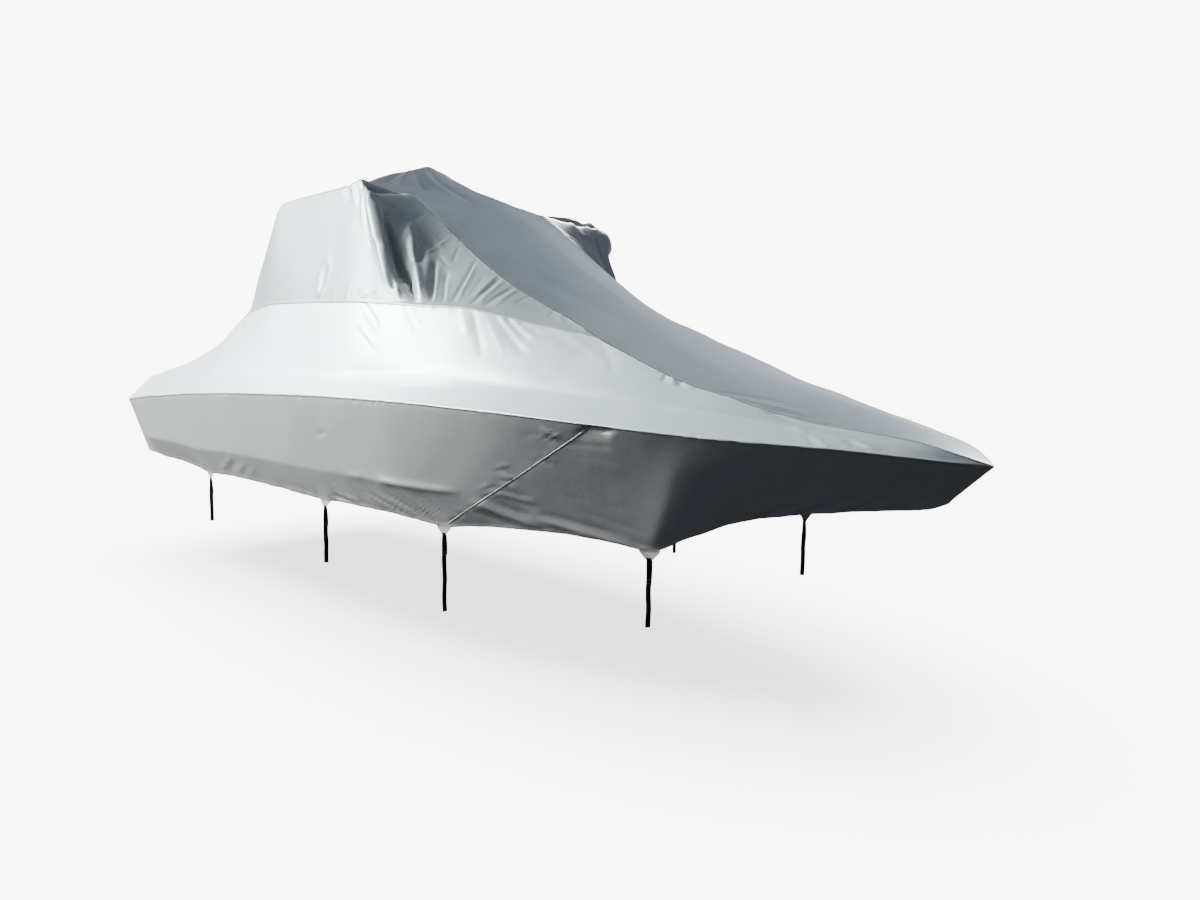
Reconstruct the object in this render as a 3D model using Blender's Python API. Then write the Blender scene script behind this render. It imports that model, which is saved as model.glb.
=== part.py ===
"""Fitted boat cover with a raised tower, hem tabs and tie-down straps.

Metres, +X towards the bow, +Y to port, +Z up. The origin is on the inner face of
the cloth at its highest point, where the support that carries it stands. Every
table gives a place along the hull as its distance from the stern ("station"),
and heights above the ground.
"""
import math

import bmesh
import bpy
import numpy as np
from mathutils import Vector

CLOTH = 0.003               # thickness of the coated cloth
SEAM_GAP = 0.0004           # between two panels that are sewn together
PEAK_STATION = 2.62         # where the support carries the cloth
PEAK_HEIGHT = 3.07
TOWER_REAR = 1.83           # station of the tower seam's rear end
TOWER_TIP = 4.87            # station where the tower seam meets the strip's seam
SKIRT_SPLIT = 5.29          # station where the diagonal skirt seam meets the gunwale

# Lines that run along the hull: station, half width, height.
GUNWALE = [
    (0.000, 1.165, 1.305), (0.450, 1.190, 1.350), (0.850, 1.205, 1.380), (1.450, 1.223, 1.420),
    (2.450, 1.234, 1.465), (3.450, 1.232, 1.490), (4.050, 1.220, 1.492), (4.450, 1.195, 1.484),
    (4.850, 1.143, 1.471), (5.250, 1.049, 1.449), (5.550, 0.948, 1.430), (5.850, 0.810, 1.411),
    (6.050, 0.690, 1.399), (6.250, 0.543, 1.383), (6.450, 0.361, 1.356), (6.570, 0.220, 1.336),
    (6.650, 0.085, 1.320), (6.695, 0.000, 1.310),
]
HEM = [
    (0.120, 1.060, 0.870), (0.550, 1.069, 0.850), (0.850, 1.080, 0.850), (1.150, 1.086, 0.830),
    (1.390, 1.090, 0.812), (1.750, 1.095, 0.828), (2.300, 1.100, 0.830), (2.750, 1.098, 0.822),
    (3.040, 1.092, 0.815), (3.250, 1.086, 0.826), (3.700, 1.065, 0.826), (4.160, 1.020, 0.806),
    (4.350, 0.991, 0.832), (4.650, 0.928, 0.854), (4.950, 0.854, 0.861), (5.150, 0.796, 0.852),
    (5.370, 0.720, 0.826), (5.550, 0.642, 0.907), (5.750, 0.540, 0.997), (5.950, 0.431, 1.044),
    (6.150, 0.304, 1.070), (6.350, 0.150, 1.086), (6.450, 0.054, 1.096), (6.505, 0.000, 1.120),
]
CREASE = [
    (0.000, 1.090, 1.375), (0.950, 1.125, 1.475), (1.700, 1.145, 1.560), (2.840, 1.140, 1.590),
    (3.930, 1.110, 1.585), (4.450, 1.035, 1.575), (4.850, 0.930, 1.570), (5.250, 0.850, 1.535),
    (5.650, 0.720, 1.492), (6.050, 0.540, 1.442), (6.450, 0.290, 1.387), (6.650, 0.074, 1.325),
    (6.695, 0.000, 1.310),
]
TOWER_BASE = [
    (0.000, 0.970, 1.490), (0.350, 0.968, 1.546), (0.650, 0.962, 1.602), (0.950, 0.960, 1.675),
    (1.150, 0.961, 1.730), (1.350, 0.965, 1.795), (1.550, 0.975, 1.880), (1.830, 1.000, 1.975),
    (1.950, 1.012, 2.006), (2.150, 1.031, 2.036), (2.350, 1.045, 2.054), (2.850, 1.063, 2.051),
    (3.300, 1.070, 2.045), (3.550, 1.040, 2.034), (3.850, 0.975, 2.015), (4.150, 0.870, 1.999),
    (4.350, 0.783, 1.959), (4.510, 0.710, 1.919), (4.650, 0.648, 1.889), (4.870, 0.550, 1.838),
]
TOWER_EDGE = [
    (0.000, 0.900, 1.500), (0.950, 0.890, 1.685), (1.350, 0.900, 1.800), (1.550, 0.910, 1.885),
    (1.830, 0.945, 1.980), (1.935, 0.970, 2.170), (2.125, 0.965, 2.460), (2.290, 0.948, 2.715),
    (2.360, 0.945, 2.725), (2.620, 0.940, 2.738), (3.100, 0.938, 2.755), (3.230, 0.938, 2.778),
    (3.300, 0.942, 2.735), (3.450, 0.975, 2.510), (3.550, 1.000, 2.305), (3.650, 1.000, 2.100),
    (3.850, 0.860, 2.110), (4.150, 0.740, 2.075), (4.510, 0.630, 1.960), (4.870, 0.550, 1.838),
]
STRIP_SEAM = [
    (0.000, 0.800, 1.505), (0.650, 0.800, 1.618), (1.150, 0.800, 1.740), (1.550, 0.800, 1.885),
    (1.830, 0.800, 1.982), (1.935, 0.800, 2.180), (2.125, 0.800, 2.480), (2.290, 0.800, 2.735),
    (2.620, 0.800, 2.770), (2.950, 0.780, 2.752), (3.070, 0.720, 2.748), (3.150, 0.630, 2.742),
    (3.210, 0.560, 2.738), (3.300, 0.550, 2.691), (3.450, 0.550, 2.592), (3.650, 0.550, 2.463),
    (3.850, 0.550, 2.331), (4.050, 0.550, 2.209), (4.250, 0.550, 2.104), (4.450, 0.550, 2.021),
    (4.650, 0.550, 1.944), (4.870, 0.550, 1.838), (5.050, 0.547, 1.768), (5.250, 0.540, 1.690),
    (5.450, 0.525, 1.620), (5.650, 0.500, 1.573), (5.850, 0.455, 1.519), (6.050, 0.390, 1.475),
    (6.250, 0.307, 1.444), (6.450, 0.211, 1.410), (6.550, 0.150, 1.378), (6.650, 0.050, 1.332),
    (6.695, 0.000, 1.310),
]
CENTRE = [
    (0.000, 0.000, 1.505), (0.650, 0.000, 1.625), (1.150, 0.000, 1.735), (1.550, 0.000, 1.885),
    (1.830, 0.000, 2.000), (1.935, 0.000, 2.200), (2.125, 0.000, 2.500), (2.290, 0.000, 2.780),
    (2.450, 0.000, 2.930), (2.620, 0.000, 3.070), (2.850, 0.000, 2.940), (3.110, 0.000, 2.830),
    (3.350, 0.000, 2.740), (3.550, 0.000, 2.645), (3.740, 0.000, 2.545), (3.950, 0.000, 2.415),
    (4.150, 0.000, 2.295), (4.370, 0.000, 2.170), (4.550, 0.000, 2.070), (4.750, 0.000, 1.960),
    (4.950, 0.000, 1.870), (5.150, 0.000, 1.790), (5.450, 0.000, 1.685), (5.750, 0.000, 1.610),
    (6.050, 0.000, 1.537), (6.250, 0.000, 1.487), (6.450, 0.000, 1.426), (6.550, 0.000, 1.383),
    (6.650, 0.000, 1.335), (6.695, 0.000, 1.310),
]
# The girth counts the lines from the gunwale up: 0 gunwale, 1 crease, 2 tower base,
# 3 tower edge, 4 strip seam, 5 centre. Each entry is a line and the cells to the next.
GIRTH = [
    (GUNWALE, 2), (CREASE, 3), (TOWER_BASE, 5), (TOWER_EDGE, 4), (STRIP_SEAM, 4), (CENTRE, 0),
]
SEAM_GIRTH = 4
# How the strip is rounded across: station, power (1 is a straight-sided tent).
CROWN = [(2.20, 1.40), (2.62, 1.05), (3.20, 1.50)]

# Sections along the hull: start, end, number of cells.
STATION_SPANS = [
    (0.000, 1.350, 5), (1.350, 1.830, 3), (1.830, 2.320, 4), (2.320, 2.620, 2), (2.620, 3.250, 5),
    (3.250, 4.450, 18), (4.450, 4.870, 4), (4.870, 5.290, 3), (5.290, 5.750, 4), (5.750, 6.450, 6),
    (6.450, 6.650, 3), (6.650, 6.695, 1),
]
# How the skirt's upper edge is matched to its hem: gunwale station, hem station.
SKIRT_MATCH = [
    (0.000, 0.120), (1.350, 1.390), (3.250, 3.040), (5.290, 4.160), (5.750, 5.370), (6.695, 6.505),
]
SKIRT_CELLS = 5
CHINE_AT = 0.70             # the hull's chine under the skirt, from gunwale 0 to hem 1
CHINE_OUT = 0.040           # how far it holds the cloth out
CHINE_STARTS = 0.30         # station where it has its full reach
CHINE_FADES = (3.90, 4.75)  # stations between which it dies away

# Folds: station and girth of both ends, width, depth (out of the surface if above 0).
FOLDS = [
    (3.40, 3.30, 3.73, 2.00, 0.050, -0.040),
    (3.57, 3.40, 3.85, 2.00, 0.045, 0.018),
    (3.70, 3.50, 3.92, 2.00, 0.045, -0.026),
    (3.85, 2.90, 4.00, 2.00, 0.040, 0.012),
    (3.87, 4.00, 4.05, 2.00, 0.040, 0.012),
    (4.07, 4.00, 4.17, 2.00, 0.038, 0.010),
    (4.17, 4.00, 4.29, 2.00, 0.036, 0.009),
    (3.28, 3.10, 3.30, 3.80, 0.035, -0.022),
]
FOLD_START = 0.4            # the share of its depth that a fold has at its first end
PORT_FOLDS = 0.7            # the folds on the port side are this much as deep
# Where the port side differs: what stands out at the tower's edge, and where the cloth
# sags: station, half width, height, radius, shift outboard, shift up.
PORT_SHIFTS = [
    (3.20, 0.92, 2.82, 0.12, 0.00, -0.055),
    (3.26, 0.94, 2.65, 0.12, 0.15, 0.000),
    (3.28, 0.98, 2.53, 0.14, 0.18, -0.010),
    (4.45, 0.60, 2.00, 0.42, 0.00, -0.045),
    (6.40, 0.25, 1.42, 0.25, 0.00, -0.015),
]

# Hem tabs and straps: name, hem station, strap length, twist of the strap in degrees.
TIES = [
    ("rear", 1.390, 0.33, 15),
    ("middle", 3.040, 0.36, 70),
    ("split", 4.160, 0.44, 100),
    ("front", 5.370, 0.34, 8),
]
TAB_TOP = 0.110             # the tab's width on the hem
TAB_FOOT = 0.034            # its width at the strap
TAB_LAP = 0.016             # how far it reaches up over the hem
TAB_DROP = 0.040            # how far it hangs below the hem
WEBBING = 0.028             # the strap's width
WEBBING_THICK = 0.0022
TIE_CLEARANCE = 0.0008      # between the tab and the cloth
PIECE_GAP = 0.0003          # between the tab and the strap
STRAP_DOUBLED = 0.13        # the strap is doubled through the tab for this length
STRAP_STEPS = 12

CLOTH_COLOUR = (0.46, 0.48, 0.49, 1.0)
TAB_COLOUR = (0.60, 0.61, 0.60, 1.0)
STRAP_COLOUR = (0.012, 0.012, 0.013, 1.0)


def smooth(stations, values, station):
    """The value at a station on a smooth curve through the rows that never overshoots."""
    if station <= stations[0]:
        return values[0]
    if station >= stations[-1]:
        return values[-1]
    steps = np.diff(stations)
    slopes = np.diff(values) / steps
    tangents = np.zeros(len(values))
    tangents[0] = slopes[0]
    tangents[-1] = slopes[-1]
    for row in range(1, len(values) - 1):
        before, after = slopes[row - 1], slopes[row]
        if before * after > 0.0:
            tangents[row] = 2.0 * before * after / (before + after)
    row = int(np.searchsorted(stations, station, side="right")) - 1
    part = (station - stations[row]) / steps[row]
    rise = values[row + 1] - values[row]
    start = part * (1.0 - part) ** 2 * tangents[row] * steps[row]
    end = part ** 2 * (part - 1.0) * tangents[row + 1] * steps[row]
    return values[row] + rise * part ** 2 * (3.0 - 2.0 * part) + start + end


def line_at(line, station):
    """Half width and height of a line at a station. The tower's lines end in the strip's seam."""
    if station >= TOWER_TIP and line in (TOWER_BASE, TOWER_EDGE):
        line = STRIP_SEAM
    stations = [row[0] for row in line]
    half = smooth(stations, [row[1] for row in line], station)
    height = smooth(stations, [row[2] for row in line], station)
    return half, height


def place(station, across, height):
    """The point in the part's frame. Across is positive to port."""
    return Vector((station - PEAK_STATION, across, height - PEAK_HEIGHT + CLOTH))


def surface_point(station, girth, side):
    """The point of the cloth's outer face above the gunwale. Side is -1 starboard, 1 port."""
    lower = min(int(girth), len(GIRTH) - 2)
    part = girth - lower
    half_low, height_low = line_at(GIRTH[lower][0], station)
    half_high, height_high = line_at(GIRTH[lower + 1][0], station)
    rise = part
    if lower == SEAM_GIRTH:
        power = np.interp(station, [row[0] for row in CROWN], [row[1] for row in CROWN])
        rise = 1.0 - (1.0 - part) ** power
    half = half_low + (half_high - half_low) * part
    height = height_low + (height_high - height_low) * rise
    return place(station, side * half, height)


def skirt_point(station, part, side):
    """The point of a skirt below the gunwale's station, from gunwale 0 to hem 1."""
    matched = np.interp(station, [row[0] for row in SKIRT_MATCH], [row[1] for row in SKIRT_MATCH])
    top_half, top_height = line_at(GUNWALE, station)
    hem_half, hem_height = line_at(HEM, matched)
    along = station + (matched - station) * part
    half = top_half + (hem_half - top_half) * part
    fade = np.interp(along, CHINE_FADES, (1.0, 0.0))
    rear = min(1.0, station / CHINE_STARTS)
    rounded = min(part / CHINE_AT, (1.0 - part) / (1.0 - CHINE_AT))
    half += CHINE_OUT * fade * rear * rounded
    height = top_height + (hem_height - top_height) * part
    return place(along, side * half, height)


def stations():
    """Every section's station, from the stern to the bow tip."""
    found = [STATION_SPANS[0][0]]
    for start, end, cells in STATION_SPANS:
        found += [start + (end - start) * step / cells for step in range(1, cells + 1)]
    return found


def girths():
    """Every column's girth, from the gunwale to the centre."""
    found = []
    for number, (line, cells) in enumerate(GIRTH):
        found += [number + step / max(cells, 1) for step in range(max(cells, 1))]
    return found


def fold_depth(point, side):
    """How far the folds move a point out of the plain surface."""
    depth = 0.0
    for start, low, end, high, width, out in FOLDS:
        first = surface_point(start, low, side)
        second = surface_point(end, high, side)
        run = second - first
        along = min(max((point - first).dot(run) / run.length_squared, 0.0), 1.0)
        nearest = first + run * along
        fade = min(1.0, FOLD_START + along * 4.0, (1.0 - along) * 4.0)
        share = fade * math.exp(-((point - nearest).length / width) ** 2)
        depth += out * share * (PORT_FOLDS if side > 0 else 1.0)
    return depth


def port_shift(point):
    """How far a point of the port side is moved from its place on the starboard side's mirror."""
    moved = Vector((0.0, 0.0, 0.0))
    for station, half, height, radius, outboard, up in PORT_SHIFTS:
        distance = (point - place(station, half, height)).length
        moved += Vector((0.1 * outboard, outboard, up)) * math.exp(-(distance / radius) ** 2)
    return moved


class Surface:
    """The cloth's whole outer face as one mesh, each face named for its panel."""

    def __init__(self):
        self.mesh = bmesh.new()
        self.found = {}
        self.panels = []
        self.tag = self.mesh.faces.layers.int.new("panel")

    def corner(self, point):
        """The mesh's corner at a point, made once."""
        key = tuple(round(value, 5) for value in point)
        if key not in self.found:
            self.found[key] = self.mesh.verts.new(point)
        return self.found[key]

    def cell(self, panel, points):
        """One face of a panel, through its points in turn."""
        corners = []
        for point in points:
            corner = self.corner(point)
            if corner not in corners:
                corners.append(corner)
        if len(corners) < 3:
            return
        if panel not in self.panels:
            self.panels.append(panel)
        face = self.mesh.faces.new(corners)
        face[self.tag] = self.panels.index(panel)

    def grid(self, rows, panel_of):
        """Faces between rows of points. panel_of names each one's panel."""
        for row in range(len(rows) - 1):
            for column in range(len(rows[row]) - 1):
                low, high = rows[row], rows[row + 1]
                points = [low[column], high[column], high[column + 1], low[column + 1]]
                self.cell(panel_of(row, column), points)


def side_name(side):
    return "port" if side > 0 else "starboard"


def upper_panel(station, girth, side):
    """The name of the panel above the gunwale at a place."""
    if girth > SEAM_GIRTH:
        return "centre_strip"
    if girth > 2 and TOWER_REAR < station < TOWER_TIP:
        return "tower_side_" + side_name(side)
    return "deck_side_" + side_name(side)


def skirt_panel(station, side):
    """The name of the skirt below the gunwale at a place."""
    return ("skirt_aft_" if station < SKIRT_SPLIT else "skirt_fore_") + side_name(side)


def middles(values):
    """The values half way between neighbours."""
    return [(before + after) / 2 for before, after in zip(values, values[1:])]


def build_surface():
    """Every panel's outer face, folds and bulges included."""
    surface = Surface()
    along = stations()
    around = girths()
    between = middles(along)
    beside = middles(around)
    parts = [cell / SKIRT_CELLS for cell in range(SKIRT_CELLS + 1)]
    for side in (-1, 1):
        upper = [[surface_point(s, g, side) for g in around] for s in along]
        skirt = [[skirt_point(s, part, side) for part in reversed(parts)] for s in along]
        surface.grid(upper, lambda row, column: upper_panel(between[row], beside[column], side))
        surface.grid(skirt, lambda row, column: skirt_panel(between[row], side))
    build_transom(surface, around, parts)
    mesh = surface.mesh
    bmesh.ops.recalc_face_normals(mesh, faces=mesh.faces)
    mesh.normal_update()
    shape_cloth(mesh)
    bmesh.ops.triangulate(mesh, faces=mesh.faces, quad_method="SHORT_EDGE")
    mesh.normal_update()
    return surface


def build_transom(surface, around, parts):
    """The skirt across the stern, between the two aft skirts' rear edges."""
    rim = [surface_point(0.0, g, -1) for g in around]
    rim += [surface_point(0.0, g, 1) for g in reversed(around[:-1])]
    foot = skirt_point(0.0, 1.0, 1)
    reach = rim[-1].y
    rows = []
    for part in parts:
        row = []
        for top in rim:
            bottom = Vector((foot.x, foot.y * top.y / reach, foot.z))
            row.append(top.lerp(bottom, part))
        rows.append(row)
    surface.grid(rows, lambda row, column: "skirt_transom")


def shape_cloth(mesh):
    """Moves the plain surface's corners into the folds and the port side's own shape."""
    moved = {}
    top = place(0.0, 0.0, 1.45).z
    for corner in mesh.verts:
        if corner.co.z < top:
            continue
        side = 1 if corner.co.y > 0 else -1
        shift = corner.normal * fold_depth(corner.co, side)
        if side > 0:
            shift += port_shift(corner.co)
        moved[corner] = shift
    for corner, shift in moved.items():
        corner.co += shift


def inner_offset(corner):
    """From a corner of the outer face to the inner face, mitred where panels meet at an angle."""
    squareness = min(corner.normal.dot(face.normal) for face in corner.link_faces)
    return -corner.normal * CLOTH / max(squareness, 0.5)


def seam_shift(corner, faces, tag):
    """Draws a panel's corner back from the panels that it is sewn to."""
    number = faces[0][tag]
    inward = []
    for edge in corner.link_edges:
        own = [face for face in edge.link_faces if face[tag] == number]
        if len(own) != 1 or len(edge.link_faces) < 2:
            continue
        direction = (edge.verts[1].co - edge.verts[0].co).normalized()
        across = own[0].calc_center_median() - edge.verts[0].co
        inward.append((across - direction * across.dot(direction)).normalized())
    if not inward:
        return Vector((0.0, 0.0, 0.0))
    heading = sum(inward, Vector((0.0, 0.0, 0.0))).normalized()
    squareness = min(heading.dot(direction) for direction in inward)
    return heading * SEAM_GAP / 2 / max(squareness, 0.35)


def panel_solid(surface, number, name, material, collection):
    """One panel as a closed sheet: its outer face, its inner face and the rim between them."""
    tag = surface.tag
    faces = [face for face in surface.mesh.faces if face[tag] == number]
    solid = bmesh.new()
    outer, inner = {}, {}
    for face in faces:
        for corner in face.verts:
            if corner in outer:
                continue
            own = [other for other in corner.link_faces if other[tag] == number]
            point = corner.co + seam_shift(corner, own, tag)
            outer[corner] = solid.verts.new(point)
            inner[corner] = solid.verts.new(point + inner_offset(corner))
    for face in faces:
        solid.faces.new([outer[corner] for corner in face.verts])
        solid.faces.new([inner[corner] for corner in reversed(face.verts)])
        for loop in face.loops:
            others = [f for f in loop.edge.link_faces if f[tag] == number]
            if len(others) == 1:
                first, second = loop.vert, loop.link_loop_next.vert
                rim = solid.faces.new([outer[second], outer[first], inner[first], inner[second]])
                bmesh.ops.triangulate(solid, faces=[rim])
    finish_object(solid, name, material, collection)


def finish_object(solid, name, material, collection):
    """Makes the object of a bmesh, with its faces pointing out."""
    bmesh.ops.recalc_face_normals(solid, faces=solid.faces)
    mesh = bpy.data.meshes.new(name)
    solid.to_mesh(mesh)
    solid.free()
    mesh.materials.append(material)
    mesh.shade_smooth()
    mesh.set_sharp_from_angle(angle=math.radians(40))
    thing = bpy.data.objects.new(name, mesh)
    collection.objects.link(thing)
    return thing


def loft(rings, name, material, collection):
    """A closed solid through rings with the same number of corners."""
    solid = bmesh.new()
    loops = [[solid.verts.new(point) for point in ring] for ring in rings]
    count = len(loops[0])
    for low, high in zip(loops, loops[1:]):
        for corner in range(count):
            after = (corner + 1) % count
            solid.faces.new([low[corner], low[after], high[after], high[corner]])
    solid.faces.new(list(reversed(loops[0])))
    solid.faces.new(loops[-1])
    bmesh.ops.triangulate(solid, faces=[f for f in solid.faces if len(f.verts) > 3])
    return finish_object(solid, name, material, collection)


def hem_frame(station, side):
    """A hem point's place, its direction along the hem, up the skirt and outboard."""
    stations_top = [row[0] for row in SKIRT_MATCH]
    gunwale_station = np.interp(station, [row[1] for row in SKIRT_MATCH], stations_top)
    foot = skirt_point(gunwale_station, 1.0, side)
    above = skirt_point(gunwale_station, 0.97, side)
    ahead = skirt_point(gunwale_station + 0.02, 1.0, side)
    behind = skirt_point(gunwale_station - 0.02, 1.0, side)
    along = (ahead - behind)
    along.z = 0.0
    along.normalize()
    outboard = Vector((-along.y, along.x, 0.0)) * side
    up = (above - foot)
    up = (up - along * up.dot(along)).normalized()
    outboard = (outboard - up * outboard.dot(up)).normalized()
    return foot, along, up, outboard


def hem_tab(name, station, side, material, collection):
    """A flat tab that laps over the hem, then hangs and narrows to the strap's width."""
    foot, along, up, outboard = hem_frame(station, side)
    level = Vector((outboard.x, outboard.y, 0.0)).normalized()
    clear = foot + outboard * TIE_CLEARANCE
    down = Vector((0.0, 0.0, -TAB_DROP))
    levels = [
        (clear + up * TAB_LAP, outboard, TAB_TOP),
        (clear, outboard, TAB_TOP),
        (clear + down * 0.6, level, TAB_FOOT * 1.25),
        (clear + down, level, TAB_FOOT),
    ]
    rings = []
    for middle, outward, width in levels:
        left, right = middle - along * width / 2, middle + along * width / 2
        thick = outward * WEBBING_THICK
        rings.append([left, right, right + thick, left + thick])
    return loft(rings, name, material, collection)


def strap(name, station, length, twist, side, material, collection):
    """A webbing strap below the tab: doubled down to where its end is sewn, then single."""
    foot, along, up, outboard = hem_frame(station, side)
    level = Vector((outboard.x, outboard.y, 0.0)).normalized()
    start = foot + outboard * TIE_CLEARANCE + level * WEBBING_THICK / 2
    start.z -= TAB_DROP + PIECE_GAP
    rings = []
    for step in range(STRAP_STEPS + 1):
        part = step / STRAP_STEPS
        turned = math.radians(twist) * max(0.0, part * 1.25 - 0.25)
        flat = along * math.cos(turned) + level * math.sin(turned)
        face = level * math.cos(turned) - along * math.sin(turned)
        layers = 2 if part * length < STRAP_DOUBLED else 1
        middle = start - Vector((0.0, 0.0, length * part))
        half, thick = flat * WEBBING / 2, face * WEBBING_THICK * layers / 2
        rings.append([middle - half - thick, middle + half - thick, middle + half + thick, middle - half + thick])
    return loft(rings, name, material, collection)


def make_material(name, colour, roughness, metallic=0.0):
    """A plain Principled material."""
    material = bpy.data.materials.new(name)
    material.use_nodes = True
    shader = material.node_tree.nodes["Principled BSDF"]
    shader.inputs["Base Color"].default_value = colour
    shader.inputs["Roughness"].default_value = roughness
    shader.inputs["Metallic"].default_value = metallic
    material.diffuse_color = colour
    return material


def build():
    """Clears the scene and builds the cover."""
    for thing in list(bpy.data.objects):
        bpy.data.objects.remove(thing, do_unlink=True)
    collection = bpy.data.collections.new("boat_cover")
    bpy.context.scene.collection.children.link(collection)
    cloth = make_material("coated_cloth", CLOTH_COLOUR, 0.45, 0.15)
    tab = make_material("tab_webbing", TAB_COLOUR, 0.8)
    webbing = make_material("black_webbing", STRAP_COLOUR, 0.75)
    surface = build_surface()
    for number, name in enumerate(surface.panels):
        panel_solid(surface, number, name, cloth, collection)
    for side in (-1, 1):
        for name, station, length, twist in TIES:
            ending = name + "_" + side_name(side)
            hem_tab("hem_tab_" + ending, station, side, tab, collection)
            strap("strap_" + ending, station, length, twist * -side, side, webbing, collection)
    surface.mesh.free()


build()
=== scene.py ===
"""Looks for the boat cover: its coated cloth panels with their folds, seams and hems, the
webbing tabs and the tie-down straps, in a plain studio, seen from the photograph's place.

Metres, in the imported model's frame: +X to the bow, +Y to port, +Z up, the origin under
the highest point. As in the part's source, a "station" is the distance from the stern,
the "girth" counts the cover's lines up from the gunwale (0 gunwale, 1 crease, 2 tower
base, 3 tower edge, 4 strip seam, 5 centre), a skirt's "part" runs from 0 at the gunwale
to 1 at the hem, and heights are above the ground.
"""
import math

import bmesh
import bpy
import numpy as np
from mathutils import Matrix, Vector


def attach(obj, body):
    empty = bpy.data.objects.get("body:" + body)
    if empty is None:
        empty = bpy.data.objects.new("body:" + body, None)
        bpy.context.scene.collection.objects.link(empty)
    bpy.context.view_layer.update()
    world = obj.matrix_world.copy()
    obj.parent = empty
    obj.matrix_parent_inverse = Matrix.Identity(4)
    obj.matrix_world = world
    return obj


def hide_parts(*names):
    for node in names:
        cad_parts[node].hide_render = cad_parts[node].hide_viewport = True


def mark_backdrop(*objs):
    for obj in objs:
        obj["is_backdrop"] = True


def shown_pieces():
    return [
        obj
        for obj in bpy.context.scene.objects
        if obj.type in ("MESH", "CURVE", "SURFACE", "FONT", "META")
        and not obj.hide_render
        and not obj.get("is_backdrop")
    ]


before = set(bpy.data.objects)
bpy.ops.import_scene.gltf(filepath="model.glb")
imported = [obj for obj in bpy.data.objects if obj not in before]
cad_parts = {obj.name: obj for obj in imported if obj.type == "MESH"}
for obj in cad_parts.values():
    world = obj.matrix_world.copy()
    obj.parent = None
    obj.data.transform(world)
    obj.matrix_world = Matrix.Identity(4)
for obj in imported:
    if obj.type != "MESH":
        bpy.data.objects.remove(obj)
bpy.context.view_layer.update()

# The part's own sizes.
CLOTH = 0.003               # between the origin and the cloth's outer face at the peak
PEAK_STATION = 2.62
PEAK_HEIGHT = 3.07
TOWER_REAR = 1.83           # station of the tower seam's rear end
TOWER_TIP = 4.87            # station where the tower seam meets the strip's seam
SKIRT_SPLIT = 5.29          # station where the diagonal skirt seam meets the gunwale

# Lines that run along the hull: station, half width, height.
GUNWALE = [
    (0.0, 1.165, 1.305), (0.45, 1.19, 1.35), (0.85, 1.205, 1.38), (1.45, 1.223, 1.42),
    (2.45, 1.234, 1.465), (3.45, 1.232, 1.49), (4.05, 1.22, 1.492), (4.45, 1.195, 1.484),
    (4.85, 1.143, 1.471), (5.25, 1.049, 1.449), (5.55, 0.948, 1.43), (5.85, 0.81, 1.411),
    (6.05, 0.69, 1.399), (6.25, 0.543, 1.383), (6.45, 0.361, 1.356), (6.57, 0.22, 1.336),
    (6.65, 0.085, 1.32), (6.695, 0.0, 1.31),
]
HEM = [
    (0.12, 1.06, 0.87), (0.55, 1.069, 0.85), (0.85, 1.08, 0.85), (1.15, 1.086, 0.83),
    (1.39, 1.09, 0.812), (1.75, 1.095, 0.828), (2.3, 1.1, 0.83), (2.75, 1.098, 0.822),
    (3.04, 1.092, 0.815), (3.25, 1.086, 0.826), (3.7, 1.065, 0.826), (4.16, 1.02, 0.806),
    (4.35, 0.991, 0.832), (4.65, 0.928, 0.854), (4.95, 0.854, 0.861), (5.15, 0.796, 0.852),
    (5.37, 0.72, 0.826), (5.55, 0.642, 0.907), (5.75, 0.54, 0.997), (5.95, 0.431, 1.044),
    (6.15, 0.304, 1.07), (6.35, 0.15, 1.086), (6.45, 0.054, 1.096), (6.505, 0.0, 1.12),
]
CREASE = [
    (0.0, 1.09, 1.375), (0.95, 1.125, 1.475), (1.7, 1.145, 1.56), (2.84, 1.14, 1.59),
    (3.93, 1.11, 1.585), (4.45, 1.035, 1.575), (4.85, 0.93, 1.57), (5.25, 0.85, 1.535),
    (5.65, 0.72, 1.492), (6.05, 0.54, 1.442), (6.45, 0.29, 1.387), (6.65, 0.074, 1.325),
    (6.695, 0.0, 1.31),
]
TOWER_BASE = [
    (0.0, 0.97, 1.49), (0.35, 0.968, 1.546), (0.65, 0.962, 1.602), (0.95, 0.96, 1.675),
    (1.15, 0.961, 1.73), (1.35, 0.965, 1.795), (1.55, 0.975, 1.88), (1.83, 1.0, 1.975),
    (1.95, 1.012, 2.006), (2.15, 1.031, 2.036), (2.35, 1.045, 2.054), (2.85, 1.063, 2.051),
    (3.3, 1.07, 2.045), (3.55, 1.04, 2.034), (3.85, 0.975, 2.015), (4.15, 0.87, 1.999),
    (4.35, 0.783, 1.959), (4.51, 0.71, 1.919), (4.65, 0.648, 1.889), (4.87, 0.55, 1.838),
]
TOWER_EDGE = [
    (0.0, 0.9, 1.5), (0.95, 0.89, 1.685), (1.35, 0.9, 1.8), (1.55, 0.91, 1.885),
    (1.83, 0.945, 1.98), (1.935, 0.97, 2.17), (2.125, 0.965, 2.46), (2.29, 0.948, 2.715),
    (2.36, 0.945, 2.725), (2.62, 0.94, 2.738), (3.1, 0.938, 2.755), (3.23, 0.938, 2.778),
    (3.3, 0.942, 2.735), (3.45, 0.975, 2.51), (3.55, 1.0, 2.305), (3.65, 1.0, 2.1),
    (3.85, 0.86, 2.11), (4.15, 0.74, 2.075), (4.51, 0.63, 1.96), (4.87, 0.55, 1.838),
]
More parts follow.
